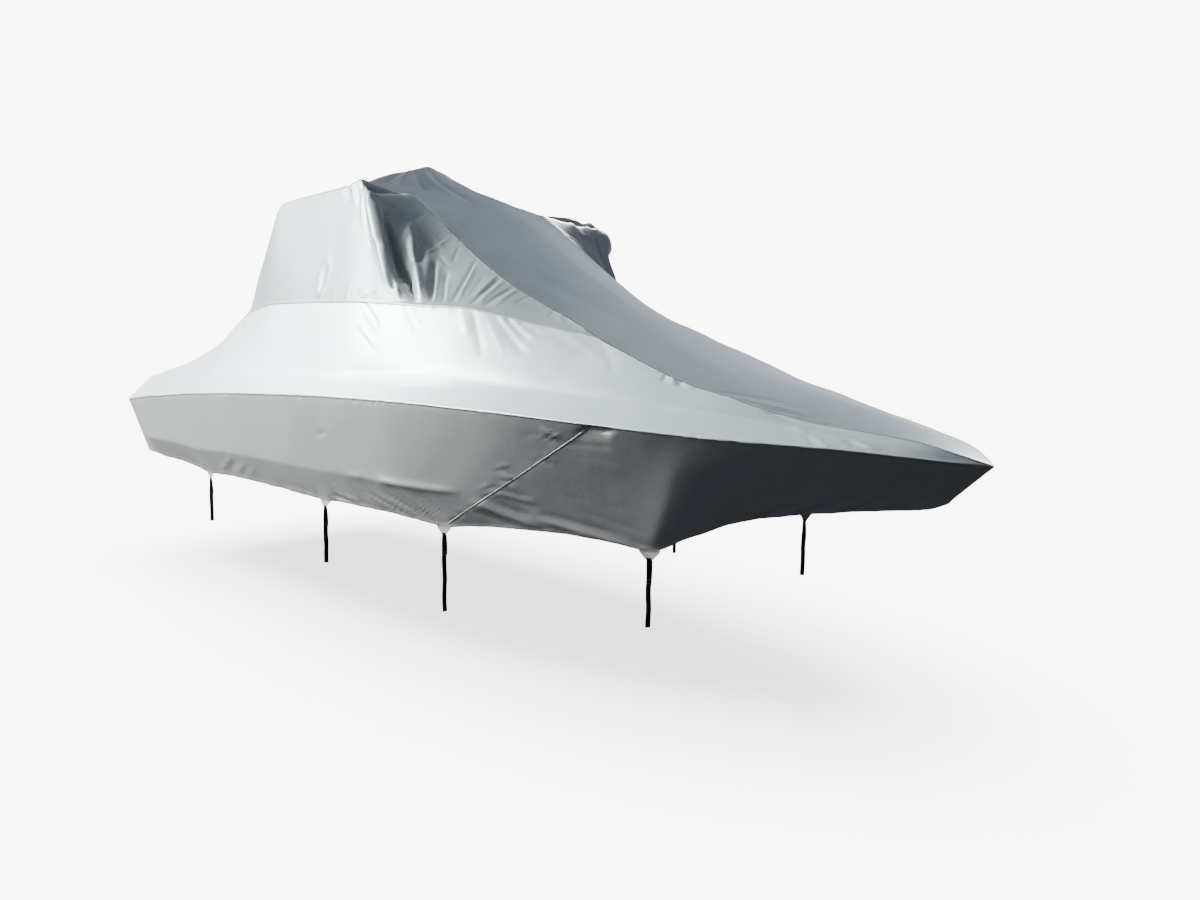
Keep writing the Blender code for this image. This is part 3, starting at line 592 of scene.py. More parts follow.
def point_finder(skin, along, girths):
    """A function that gives the cover's points at stations and girths on one side."""
    def at(stations, places, side):
        row = np.interp(stations, along, np.arange(len(along)))
        number = np.interp(places, girths, np.arange(len(girths)))
        if side > 0:
            number = skin.shape[1] - 1 - number
        low_row = np.minimum(row.astype(int), len(along) - 2)
        low_column = np.minimum(number.astype(int), skin.shape[1] - 2)
        u, v = (row - low_row)[:, None], (number - low_column)[:, None]
        first = skin[low_row, low_column] * (1.0 - u) + skin[low_row + 1, low_column] * u
        second = skin[low_row, low_column + 1] * (1.0 - u) + skin[low_row + 1, low_column + 1] * u
        return first * (1.0 - v) + second * v
    return at


def folded(skin, point_at):
    """The skin with its folds and slack."""
    outward = normals_of(skin)
    starboard = in_metres(TOWER_FOLDS + DECK_FOLDS + STRIP_FOLDS + EAVE_FOLDS)
    skirts = [(a, -b, c, -d, *rest) for a, b, c, d, *rest in in_metres(SKIRT_FOLDS)]
    moved = add_folds(skin, outward, starboard + skirts, point_at, -1, 1.0)
    moved += add_folds(skin, outward, varied(starboard, 3, 0.03), point_at, 1, PORT_FOLDS)
    moved += add_folds(skin, outward, varied(skirts, 4, 0.10), point_at, 1, PORT_FOLDS)
    moved += crumpled(skin)
    moved += dent(skin, point_at)
    moved += noises(skin, SLACK, 0)
    return skin + outward * moved[..., None]


def dent(points, point_at):
    """The crumpled oval dent on the tower's starboard side."""
    station, girth, tall, wide = DENT
    middle = point_at(np.array([station]), np.array([girth]), -1)[0]
    away = points - middle
    tilt = math.radians(DENT_TILT)
    across = away[..., 0] * math.cos(tilt) - away[..., 2] * math.sin(tilt)
    up = away[..., 0] * math.sin(tilt) + away[..., 2] * math.cos(tilt)
    round_about = np.sqrt((across / wide) ** 2 + (up / tall) ** 2)
    near = (np.abs(away[..., 1]) < wide * 3.0) & (round_about < 2.5)
    rim = DENT_RIM * hill(round_about, 1.0, 0.22)
    bowl = DENT_BOWL * np.exp(-(round_about / 0.75) ** 4)
    creases = DENT_CREASES * value_noise(points * np.array((1.0, 1.0, 0.5)), 0.026, 31)
    creases *= np.exp(-(round_about / 0.8) ** 4)
    return np.where(near, rim + bowl + creases, 0.0)


def crumpled(points):
    """The creases over what stands out at the tower's port edge."""
    sharp = 1.0 - 2.0 * np.abs(value_noise(points, 0.120, 61))
    small = 1.0 - 2.0 * np.abs(value_noise(points, 0.045, 62))
    return nearness(points, *CRUMPLE_AT) * (CRUMPLE * sharp + 0.35 * CRUMPLE * small)


def cut(skin, first, last, inner, laps):
    """A panel's columns out of the whole skin, closer together beside its seams.

    First and last are the skin's columns at its two edges, inner the number of even cells
    between them, and laps how far it reaches past each. Gives the points, and how far
    each is inside the first edge and the last, below 0 past them."""
    steps = np.linalg.norm(np.diff(skin, axis=1), axis=2)
    length = np.concatenate([np.zeros((len(skin), 1)), np.cumsum(steps, axis=1)], axis=1)
    edge = np.array(SEAM_STEPS)
    points, inside_first, inside_last = [], [], []
    for row in range(len(skin)):
        start, end = length[row, first], length[row, last]
        wide = end - start
        scale = min(1.0, wide / (edge[-1] * 3.0))
        near = edge * scale
        even = np.linspace(near[-1], wide - near[-1], inner + 1)[1:-1]
        own = np.concatenate([near, even, wide - near[::-1]])
        if laps[0]:
            own = np.concatenate([[-laps[0] * scale, -laps[0] * scale * 0.5], own])
        if laps[1]:
            own = np.concatenate([own, wide + laps[1] * scale * np.array((0.5, 1.0))])
        places = np.clip(start + own, 0.0, length[row, -1])
        points.append([np.interp(places, length[row], skin[row, :, axis]) for axis in range(3)])
        inside_first.append(own)
        inside_last.append(wide - own)
    return np.array(points).transpose(0, 2, 1), np.array(inside_first), np.array(inside_last)


def welt(gap):
    """How far the cloth stands up beside a seam, by the distance to it."""
    away = np.abs(gap)
    return WELT * hill(away, WELT_AT, 0.0042) - WELT * 0.6 * hill(away, DITCH_AT, 0.007)


def lapped(inside):
    """How far a panel that laps over another stands above it."""
    share = np.clip(1.0 - inside / LAP_FADE, 0.0, 1.0)
    return LAP_LIFT * share * share * (3.0 - 2.0 * share)


def puckers(points, gap, seed):
    """The cloth's small gathers beside a seam."""
    beside = hill(gap, 0.0, 0.030) - hill(gap, 0.0, 0.006)
    lively = np.clip(value_noise(points, 0.34, seed + 5) * 1.6 + 0.25, 0.0, 1.0)
    return PUCKER * beside * lively * noises(points, GATHERS, seed)


def row_distance(points, row):
    """The distance of every point of a grid from its column's point in one row."""
    return np.linalg.norm(points - points[row][None], axis=2)


def link_mesh(name, mesh, materials):
    """An object of a mesh, in the scene, with its materials."""
    for material in materials:
        mesh.materials.append(material)
    thing = bpy.data.objects.new(name, mesh)
    bpy.context.scene.collection.objects.link(thing)
    return thing


def build_panel(kind, side, points, moved, gap, material, shown=True):
    """A cloth panel: its points moved out by so much, the distance to its seams, and its cells.

    Side is -1 starboard, 1 port and 0 for a panel that lies across the middle."""
    points = points + normals_of(points) * moved[..., None]
    rows, columns = points.shape[:2]
    numbers = np.arange(rows * columns).reshape(rows, columns)
    corners = [numbers[:-1, :-1], numbers[1:, :-1], numbers[1:, 1:], numbers[:-1, 1:]]
    cells = np.broadcast_to(shown, (rows - 1, columns - 1))
    quads = np.stack(corners, axis=-1)[cells]
    if side > 0:
        quads = quads[:, ::-1]
    part = kind + ("_starboard", "", "_port")[side + 1]
    mesh = bpy.data.meshes.new("cloth_" + part)
    mesh.from_pydata(points.reshape(-1, 3).tolist(), [], quads.tolist())
    layer = mesh.attributes.new("seam_gap", "FLOAT", "POINT")
    layer.data.foreach_set("value", gap.reshape(-1).astype(np.float32))
    work = bmesh.new()
    work.from_mesh(mesh)
    loose = [corner for corner in work.verts if not corner.link_faces]
    bmesh.ops.delete(work, geom=loose, context="VERTS")
    bmesh.ops.remove_doubles(work, verts=work.verts, dist=MERGE)
    work.to_mesh(mesh)
    work.free()
    mesh.shade_smooth()
    thing = link_mesh("cloth_" + part, mesh, [material])
    thick = thing.modifiers.new("cloth", "SOLIDIFY")
    thick.thickness = SHEET
    thick.offset = -1.0
    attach(thing, "root")
    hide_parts(part)


def build_cover(material):
    """Every cloth panel."""
    skin, along, girths = whole_skin()
    skin = folded(skin, point_finder(skin, along, girths))
    hem, gunwale, base, seam = [int(np.argmin(np.abs(girths - place))) for place in (-1, 0, 2, 4)]
    rear, tip, split = [
        int(np.argmin(np.abs(along - station))) for station in (TOWER_REAR, TOWER_TIP, SKIRT_SPLIT)
    ]
    for side in (-1, 1):
        surface = skin if side < 0 else skin[:, ::-1]
        build_skirts(surface, hem, gunwale, split, side, material)
        build_deck(surface, gunwale, base, seam, rear, side, material)
        build_tower(surface, base, seam, rear, tip, side, material)
    last = skin.shape[1] - 1
    build_strip(skin, seam, last - seam, material)
    build_transom(skin, gunwale, last - gunwale, material)


def hem_band(from_hem):
    """The turned-up cloth along the hem: how far it stands out, and the distance to its stitches."""
    inside = HEM_BAND - from_hem
    return HEM_LIFT * np.clip(inside / HEM_EDGE, 0.0, 1.0), np.abs(from_hem - HEM_BAND + HEM_EDGE)


def build_skirts(surface, hem, gunwale, split, side, material):
    """The aft and fore skirts of one side, sewn along the diagonal seam."""
    points, from_hem, from_top = cut(surface, hem, gunwale, ACROSS["skirt"], (0.0, 0.0))
    from_split = row_distance(points, split)
    rows = np.arange(len(points))[:, None]
    top = np.abs(from_top)
    gap = np.minimum(top, from_split)
    band, from_band = hem_band(from_hem)
    moved = puckers(points, gap, SEEDS[side]) + welt(from_split)
    moved -= GUNWALE_GROOVE * hill(top, 0.020, 0.009)
    moved += band + noises(points, RUFFLE, SEEDS[side]) * hill(from_hem, 0.0, RUFFLE_REACH)
    stitched = np.minimum(gap, from_band)
    build_panel("skirt_aft", side, points, moved, stitched, material, rows[:-1] < split)
    signed = np.where(rows < split, -from_split, from_split)
    moved = moved + lapped(signed)
    stitched = np.where(rows < split, -from_split, stitched)
    build_panel("skirt_fore", side, points, moved, stitched, material, rows[:-1] >= split - LAP_ROWS)


def build_deck(surface, gunwale, base, seam, rear, side, material):
    """The deck's side, from the gunwale to the tower and behind it to the strip."""
    points, from_top, from_base = cut(surface, gunwale, base, ACROSS["deck"], (LAP, 0.0))
    upper, _, from_seam = cut(surface, base, seam, ACROSS["beside_strip"], (0.0, 0.0))
    grid = np.concatenate([points, upper[:, 1:]], axis=1)
    lower = points.shape[1]
    joined = np.arange(grid.shape[1]) >= lower - 1
    far = np.ones(grid.shape[:2])
    gunwale_gap = np.concatenate([from_top, far[:, lower:]], axis=1)
    base_gap = np.concatenate([from_base, far[:, lower:]], axis=1)
    base_gap[:rear] = 1.0
    seam_gap = np.concatenate([far[:, :lower - 1], from_seam], axis=1)
    rear_gap = np.where(joined, row_distance(grid, rear), 1.0)
    upper_gap = np.minimum(np.minimum(base_gap, seam_gap), rear_gap)
    gap = np.minimum(np.abs(gunwale_gap), upper_gap)
    moved = puckers(grid, gap, SEEDS[side]) + lapped(gunwale_gap) + welt(upper_gap)
    signed = np.where(gunwale_gap < 0.0, gunwale_gap, gap)
    behind = np.arange(len(grid) - 1)[:, None] < rear
    build_panel("deck_side", side, grid, moved, signed, material, behind | ~joined[:-1])


def build_tower(surface, base, seam, rear, tip, side, material):
    """The tower's side."""
    own = surface[rear - LAP_ROWS:tip + 1]
    points, from_base, from_seam = cut(own, base, seam, ACROSS["tower"], (LAP, 0.0))
    from_rear = row_distance(points, LAP_ROWS)
    behind = np.arange(len(points))[:, None] < LAP_ROWS
    from_rear = np.where(behind, -from_rear, from_rear)
    gap = np.minimum(np.abs(from_base), np.minimum(from_seam, np.abs(from_rear)))
    moved = puckers(points, gap, SEEDS[side]) + welt(gap)
    moved += lapped(np.minimum(from_base, from_rear))
    signed = np.where((from_base < 0.0) | behind, -gap, gap)
    build_panel("tower_side", side, points, moved, signed, material)


def build_strip(skin, first, last, material):
    """The centre strip, from the stern over the peak to the bow."""
    points, from_first, from_last = cut(skin, first, last, ACROSS["strip"], (LAP, LAP))
    inside = np.minimum(from_first, from_last)
    moved = puckers(points, np.abs(inside), STRIP_SEED) + welt(inside) + lapped(inside)
    build_panel("centre_strip", 0, points, moved, inside, material)


def build_transom(skin, first, last, material):
    """The skirt across the stern."""
    rim = skin[0, first:last + 1]
    steps = np.linalg.norm(np.diff(rim, axis=0), axis=1)
    length = np.concatenate([[0.0], np.cumsum(steps)])
    places = np.linspace(0.0, length[-1], TRANSOM_CELLS + 1)
    top = np.stack([np.interp(places, length, rim[:, axis]) for axis in range(3)], axis=1)
    port_foot, starboard_foot = skin[0, -1], skin[0, 0]
    share = (top[:, 1] - top[0, 1]) / (top[-1, 1] - top[0, 1])
    foot = starboard_foot + (port_foot - starboard_foot) * share[:, None]
    down = np.linspace(0.0, 1.0, TRANSOM_ROWS + 1)[:, None, None]
    points = top[None] * (1.0 - down) + foot[None] * down
    away, from_hem = row_distance(points, 0), row_distance(points, -1)
    band, from_band = hem_band(from_hem)
    hung = np.minimum(1.0, away / 0.10) * np.minimum(1.0, (1.0 - np.abs(share * 2.0 - 1.0)) * 8.0)
    waves_in = points * np.array((1.0, 1.0, HANGING_LONG))
    moved = noises(waves_in, [HANGING], 0) * hung + puckers(points, away, TRANSOM_SEED) + band
    build_panel("skirt_transom", 0, points, moved, np.minimum(away, from_band), material)


# Hem tabs and straps: name, hem station, strap length, twist of the strap in degrees.
TIES = [
    ("rear", 1.39, 0.33, -52), ("middle", 3.04, 0.36, -66),
    ("split", 4.16, 0.44, -74), ("front", 5.37, 0.34, -42),
]
DOWN = Vector((0.0, 0.0, -1.0))
TAB_TOP = 0.110
TAB_FOOT = 0.034
TAB_LAP = 0.016
TAB_DROP = 0.040
TAB_STEPS = 12
TAB_TAPER = 0.9             # the power by which it narrows towards its foot
TAB_CLEAR = 0.0042          # how far it stands outside the hem
TAB_CLOTH = 0.0010
TAB_LEG = 0.011             # the width of the webbing along the tab's edges
LEG_THICK = 0.0016
STRAP_OFF = 0.0012          # how far the strap's front stands out of its line, and a tab's legs
WEBBING = 0.028
WEBBING_THICK = 0.0013
STRAP_DOUBLED = 0.13
STRAP_STEP = 0.006
STRAP_TURNS = 3.2           # a strap has turned by 1 / this of its length
STRAP_SWAY = 0.0016
SWAY_RATE = 31.0            # in radians a metre
SWAY_GROWS = 0.1            # the length over which it grows to the whole
BACK_SHIFT = (-0.0006, 0.0026)        # the doubled part's place, off the face and across
STRAP_RISE = 0.004          # from the tab's foot to the middle of the strap's loop
LOOP_RADIUS = 0.0034
LOOP_STEPS = 8
STITCH_ROWS = (0.082, 0.104, 0.119)   # bars of thread below the tab
STITCH_REACH = 0.42         # a bar's half length as a share of the strap's width
STITCH_SIZE = (0.0012, 0.0006)
# A band's rounded outline, in its widths and thicknesses.
BAND = [
    (-0.5, 0.25), (-0.47, 0.5), (0.0, 0.5), (0.47, 0.5), (0.5, 0.25),
    (0.5, -0.25), (0.47, -0.5), (0.0, -0.5), (-0.47, -0.5), (-0.5, -0.25),
]


def hem_frame(station, side):
    """A hem point's place, its direction along the hem, up the skirt and outboard."""
    gunwale, hem = np.array(SKIRT_MATCH).T
    at = np.interp(station, hem, gunwale)
    spots = np.array([at, at, at + 0.02, at - 0.02])
    parts = np.array([1.0, 0.97, 1.0, 1.0])
    foot, above, ahead, behind = [Vector(p) for p in skirt_points(spots, parts, side)]
    along = ahead - behind
    along.z = 0.0
    along.normalize()
    outboard = Vector((-along.y, along.x, 0.0)) * side
    up = above - foot
    up = (up - along * up.dot(along)).normalized()
    outboard = (outboard - up * outboard.dot(up)).normalized()
    return foot, along, up, outboard


def bridge(work, low, high):
    """The faces between two rings of corners."""
    after = low[1:] + low[:1], high[1:] + high[:1]
    return [work.faces.new(corners) for corners in zip(low, after[0], after[1], high)]


def ribbon(work, rows, width, thick, number):
    """A flat band with rounded edges, into a mesh being made.

    A row is a point of its line, the direction across the band and its face's direction."""
    rings = []
    for middle, flat, face in rows:
        rings.append([work.verts.new(middle + flat * (u * width) + face * (v * thick)) for u, v in BAND])
    made = []
    for low, high in zip(rings, rings[1:]):
        made += bridge(work, low, high)
    made.append(work.faces.new(list(reversed(rings[0]))))
    made.append(work.faces.new(rings[-1]))
    for face in made:
        face.material_index = number


def finished(name, work, materials):
    """An object of a mesh that has been built up."""
    mesh = bpy.data.meshes.new(name)
    work.to_mesh(mesh)
    work.free()
    return link_mesh(name, mesh, materials)


def finish_webbing(name, work, materials):
    """A tab's or a strap's object, riding on the cover."""
    bmesh.ops.recalc_face_normals(work, faces=work.faces)
    thing = finished(name, work, materials)
    thing.data.shade_smooth()
    thing.data.set_sharp_from_angle(angle=math.radians(50))
    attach(thing, "root")
    return thing


def build_tab(ending, station, side, material):
    """A hem tab: a triangle of cloth edged with a loop of webbing that holds the strap."""
    foot, along, up, outboard = hem_frame(station, side)
    level = Vector((outboard.x, outboard.y, 0.0)).normalized()
    clear = foot + outboard * TAB_CLEAR
    work = bmesh.new()
    levels = []
    for step in range(TAB_STEPS + 1):
        drop = -TAB_LAP + (TAB_LAP + TAB_DROP) * (step / TAB_STEPS)
        share = max(0.0, drop / TAB_DROP)
        width = TAB_TOP + (TAB_FOOT - TAB_TOP) * min(1.0, share ** TAB_TAPER)
        if drop < 0.0:
            levels.append((clear + up * -drop, width, outboard))
        else:
            levels.append((clear + DOWN * drop, width, level))
    for ends in zip(levels, levels[1:]):
        rings = []
        for spot, width, face in ends:
            rings.append([
                work.verts.new(spot + along * (u * (width - TAB_LEG) / 2.0) + face * (v * TAB_CLOTH / 2.0))
                for u, v in ((-1, 1), (1, 1), (1, -1), (-1, -1))
            ])
        bridge(work, *rings)
    for hand in (-1, 1):
        line, rows = [], []
        for middle, width, outward in levels:
            line.append(middle + along * (hand * (width - TAB_LEG) / 2.0) + outward * STRAP_OFF)
        for number, (middle, width, outward) in enumerate(levels):
            run = line[min(number + 1, TAB_STEPS)] - line[max(number - 1, 0)]
            rows.append((line[number], run.cross(outward).normalized(), outward))
        ribbon(work, rows, TAB_LEG, LEG_THICK, 0)
    bmesh.ops.remove_doubles(work, verts=work.verts, dist=0.00005)
    thing = finish_webbing("webbing_tab_" + ending, work, [material])
    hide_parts("hem_tab_" + ending)
    return levels[-1][0], along, level


def build_strap(ending, start, along, level, length, twist, materials):
    """A webbing strap: looped through the tab, sewn back on itself, then single and twisted."""
    work = bmesh.new()
    top = start - DOWN * STRAP_RISE

    def row_at(drop, off, shift):
        """A row of the strap below its top, off its face and shifted across."""
        turned = math.radians(twist) * min(1.0, drop / length * STRAP_TURNS)
        flat = along * math.cos(turned) + level * math.sin(turned)
        face = level * math.cos(turned) - along * math.sin(turned)
        return top + DOWN * drop + face * off + flat * shift, flat, face

    count = int(length / STRAP_STEP)
    front, loop = [], []
    for step in range(count + 1):
        drop = length * step / count
        sway = STRAP_SWAY * math.sin(drop * SWAY_RATE) * min(1.0, drop / SWAY_GROWS)
        front.append(row_at(drop, STRAP_OFF + sway, sway * 0.6))
    drops = [STRAP_STEP * step for step in range(int(STRAP_DOUBLED / STRAP_STEP) + 1)]
    back = [row_at(drop, *BACK_SHIFT) for drop in drops]
    for step in range(LOOP_STEPS + 1):
        angle = math.pi * step / LOOP_STEPS
        out, above = LOOP_RADIUS * math.cos(angle), LOOP_RADIUS * math.sin(angle)
        face = (level * math.cos(angle) - DOWN * math.sin(angle)).normalized()
        loop.append((top + level * out - DOWN * above, along, face))
    for rows in (front, back, loop):
        ribbon(work, rows, WEBBING, WEBBING_THICK, 0)
    for drop in STITCH_ROWS:
        middle, flat, face = row_at(drop, STRAP_OFF + WEBBING_THICK * 0.6, 0.0)
        ends = [middle + flat * (hand * WEBBING) * STITCH_REACH for hand in (-1, 1)]
        ribbon(work, [(end, DOWN, face) for end in ends], *STITCH_SIZE, 1)
    thing = finish_webbing("webbing_strap_" + ending, work, materials)
    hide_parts("strap_" + ending)


def add_node(tree, kind, inputs, **settings):
    """A node with its settings, each input linked to a socket or set to a value."""
    made = tree.nodes.new("ShaderNode" + kind)
    for name, value in settings.items():
        setattr(made, name, value)
    for place, value in inputs.items():
        if isinstance(value, bpy.types.NodeSocket):
            tree.links.new(value, made.inputs[place])
        else:
            made.inputs[place].default_value = value
    return made


def maths(tree, operation, *values):
    """A maths node's result, of sockets or numbers."""
    return add_node(tree, "Math", dict(enumerate(values)), operation=operation).outputs[0]


def waves(tree, value, length):
    """A sine wave over a value."""
    return maths(tree, "SINE", maths(tree, "MULTIPLY", value, 2.0 * math.pi / length))


def noise(tree, place, scale, detail, roughness=0.5):
    """A noise texture's value."""
    inputs = {"Scale": scale, "Detail": detail, "Roughness": roughness, "Vector": place}
    return add_node(tree, "TexNoise", inputs).outputs["Fac"]


def grey_of(tree, tone):
    """A grey as bright as a tone."""
    return add_node(tree, "CombineXYZ", {axis: tone for axis in range(3)}).outputs[0]


def tinted(tree, tone, colour):
    """A colour, brighter or darker by a tone."""
    inputs = {0: grey_of(tree, tone), 1: colour}
    return add_node(tree, "VectorMath", inputs, operation="MULTIPLY").outputs[0]


def bumped(tree, height, strength, distance, **under):
    """A bump's normal, over another one where that is given as Normal."""
    inputs = {"Strength": strength, "Distance": distance, "Height": height, **under}
    return add_node(tree, "Bump", inputs).outputs[0]


def make_material(name, colour, roughness, metallic=0.0):
    """A Principled material, its tree and its shader."""
    material = bpy.data.materials.new(name)
    material.use_nodes = True
    tree = material.node_tree
    shader = tree.nodes["Principled BSDF"]
    shader.inputs["Base Color"].default_value = (*colour, 1.0)
    shader.inputs["Roughness"].default_value = roughness
    shader.inputs["Metallic"].default_value = metallic
    material.diffuse_color = (*colour, 1.0)
    return material, tree, shader


def object_place(tree):
    """The place in the object's own space, and its three parts."""
    place = add_node(tree, "TexCoord", {}).outputs["Object"]
    return place, *add_node(tree, "SeparateXYZ", {0: place}).outputs


def cloth_material():
    """Silver-grey coated polyester: a fine weave under a satin coating, sewn with grey thread."""
    material, tree, shader = make_material("coated_cloth_look", CLOTH_COLOUR, 0.42, metallic=0.42)
    place, x, y, z = object_place(tree)
    gap = add_node(tree, "Attribute", {}, attribute_name="seam_gap").outputs["Fac"]

    broad = noise(tree, place, 2.2, 3.0)
    fine = noise(tree, place, 26.0, 4.0, 0.6)
    tone = maths(tree, "MULTIPLY_ADD", broad, 0.16, 0.92)
    tone = maths(tree, "MULTIPLY_ADD", fine, 0.07, maths(tree, "SUBTRACT", tone, 0.035))
    lift = maths(tree, "ADD", y, z)
    weave = maths(tree, "MULTIPLY", waves(tree, x, WEAVE), waves(tree, lift, WEAVE))
    tone = maths(tree, "MULTIPLY_ADD", weave, 0.012, tone)
    # painted highlight: the cloth is painted paler within a few millimetres of every seam, standing in for
    # the light caught by the seam's raised edge
    tone_lift = maths(tree, "LESS_THAN", maths(tree, "ABSOLUTE", gap), SEAM_HIGHLIGHT_EDGE)
    tone = maths(tree, "MULTIPLY_ADD", tone_lift, 0.04, tone)

    run = maths(tree, "ADD", x, maths(tree, "MULTIPLY", lift, 0.4))
    dash = maths(tree, "GREATER_THAN", waves(tree, run, STITCH), -0.45)
    lines = []
    for away in STITCH_LINES:
        beside = maths(tree, "ABSOLUTE", maths(tree, "SUBTRACT", gap, away))
        lines.append(maths(tree, "LESS_THAN", beside, THREAD_HALF))
    thread = maths(tree, "MULTIPLY", maths(tree, "MAXIMUM", *lines), dash)
    inputs = {0: thread, 6: tinted(tree, tone, CLOTH_COLOUR), 7: SEWN_COLOUR}
    colour = add_node(tree, "Mix", inputs, data_type="RGBA").outputs[2]
    tree.links.new(colour, shader.inputs["Base Color"])

    rough = maths(tree, "MULTIPLY_ADD", fine, 0.10, 0.38)
    rough = maths(tree, "MULTIPLY_ADD", broad, 0.06, maths(tree, "SUBTRACT", rough, 0.03))
    tree.links.new(rough, shader.inputs["Roughness"])

    normal = bumped(tree, noise(tree, place, 11.0, 6.0, 0.66), 0.50, 0.0035)
    normal = bumped(tree, weave, 0.25, 0.00025, Normal=normal)
    normal = bumped(tree, thread, 0.8, 0.0006, Normal=normal)
    tree.links.new(normal, shader.inputs["Normal"])
    return material


def webbing_material(name, colour, roughness, rib):
    """Woven webbing: a herringbone of ribs across the band, with paler and darker threads."""
    material, tree, shader = make_material(name, colour, roughness)
    shader.inputs["Specular IOR Level"].default_value = WEBBING_GLOSS
    place, x, y, z = object_place(tree)
    climb = maths(tree, "PINGPONG", maths(tree, "ADD", x, y), rib * 2.5)
    ribs = waves(tree, maths(tree, "ADD", z, climb), rib)
    fuzz = noise(tree, place, 420.0, 3.0, 0.6)
    tone_lift = noise(tree, place, 18.0, 3.0)
    tone = maths(tree, "MULTIPLY_ADD", ribs, 0.14, 0.86)
    tone = maths(tree, "MULTIPLY_ADD", fuzz, 0.30, maths(tree, "SUBTRACT", tone, 0.15))
    tone = maths(tree, "MULTIPLY_ADD", tone_lift, 0.5, maths(tree, "SUBTRACT", tone, 0.2))
    tree.links.new(tinted(tree, tone, colour), shader.inputs["Base Color"])
    height = maths(tree, "MULTIPLY_ADD", fuzz, 0.5, ribs)
    tree.links.new(bumped(tree, height, 0.6, 0.0005), shader.inputs["Normal"])
    return material


CLOTH_COLOUR = (0.455, 0.480, 0.490)
SEWN_COLOUR = (0.50, 0.51, 0.50, 1.0)
TAB_COLOUR = (0.56, 0.57, 0.56)
STRAP_COLOUR = (0.007, 0.007, 0.008)
THREAD_COLOUR = (0.16, 0.16, 0.16)
WEBBING_GLOSS = 0.22
WEAVE = 0.0016
STITCH = 0.0048
STITCH_LINES = (-0.0075, -0.0020)     # distance from the seam, below 0 past it
THREAD_HALF = 0.00055
SEAM_HIGHLIGHT_EDGE = 0.0035          # how far from a seam the coating is painted paler, a painted highlight along the seam's edge


def build_ties():
    """Every tab with its strap."""
    tab = webbing_material("tab_webbing_look", TAB_COLOUR, 0.62, 0.0022)
    webbing = webbing_material("black_webbing_look", STRAP_COLOUR, 0.70, 0.0026)
    thread = make_material("thread_look", THREAD_COLOUR, 0.7)[0]
    for side in (-1, 1):
        for name, station, length, twist in TIES:
            ending = name + ("_port" if side > 0 else "_starboard")
            start, along, level = build_tab(ending, station, side, tab)
            build_strap(ending, start, along, level, length, twist * -side, [webbing, thread])


def build_stage():
    """A wide pale floor on the ground, and a pale backdrop all round that only the camera sees."""
    floor_work = bmesh.new()
    bmesh.ops.create_circle(floor_work, cap_ends=True, segments=96, radius=STAGE_REACH)
    dome_work = bmesh.new()
    bmesh.ops.create_uvsphere(dome_work, u_segments=96, v_segments=48, radius=STAGE_REACH)

    floor_look, tree, shader = make_material("studio_floor", FLOOR_COLOUR, 1.0)
    shader.inputs["Specular IOR Level"].default_value = 0.0
    grain = noise(tree, add_node(tree, "TexCoord", {}).outputs["Object"], 3.0, 4.0)
    tone = maths(tree, "MULTIPLY_ADD", grain, 0.01, FLOOR_COLOUR[0] - 0.005)
    tree.links.new(grey_of(tree, tone), shader.inputs["Base Color"])

    dome_look, tree, shader = make_material("studio_backdrop", (0.0, 0.0, 0.0), 1.0)
    shader.inputs["Specular IOR Level"].default_value = 0.0
    shader.inputs["Emission Color"].default_value = (1.0, 1.0, 1.0, 1.0)
    shader.inputs["Emission Strength"].default_value = BACKDROP_GLOW

    floor = finished("studio_floor", floor_work, [floor_look])
    dome = finished("studio_backdrop", dome_work, [dome_look])
    for thing in (floor, dome):
        thing.location = (0.0, 0.0, CLOTH - PEAK_HEIGHT)
        thing.visible_diffuse = False
        thing.visible_glossy = False
        thing.visible_shadow = False
    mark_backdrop(floor, dome)
    return floor


def towards(azimuth, elevation):
    """The direction at an azimuth and an elevation in degrees."""
    turn, rise = math.radians(azimuth), math.radians(elevation)
    return Vector((math.cos(turn) * math.cos(rise), math.sin(turn) * math.cos(rise), math.sin(rise)))


def add_lamp(name, kind, source, colour, lit, **values):
    """A lamp that shines from a direction, only on the things named."""
    data = bpy.data.lights.new(name, kind)
    data.color = colour
    for setting, value in values.items():
        setattr(data, setting, value)
    lamp = bpy.data.objects.new(name, data)
    lamp.rotation_mode = "QUATERNION"
    lamp.rotation_quaternion = (-source).to_track_quat("-Z", "Y")
    bpy.context.scene.collection.objects.link(lamp)
    reached = bpy.data.collections.new("lit_by_" + name)
    for thing in lit:
        reached.objects.link(thing)
    lamp.light_linking.receiver_collection = reached
    lamp.visible_camera = False
    return lamp


def build_lights(floor):
    """The lamps on the panels, and the light and the shade on the floor."""
    for name, azimuth, above, away, size, power, colour, aim, parts in LAMPS:
        source = towards(azimuth, above)
        lit = [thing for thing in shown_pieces() if any(part in thing.name for part in parts)]
        lamp = add_lamp(name, "AREA", source, colour, lit, shape="DISK", size=size, energy=power)
        lamp.location = Vector(aim) + source * away
    for name, power, shadow in FLOOR_LAMPS:
        soft = {"angle": math.radians(FLOOR_SOFT), "use_shadow": shadow}
        add_lamp(name, "SUN", Vector(FLOOR_SOURCE), PALE, [floor], energy=power, **soft)


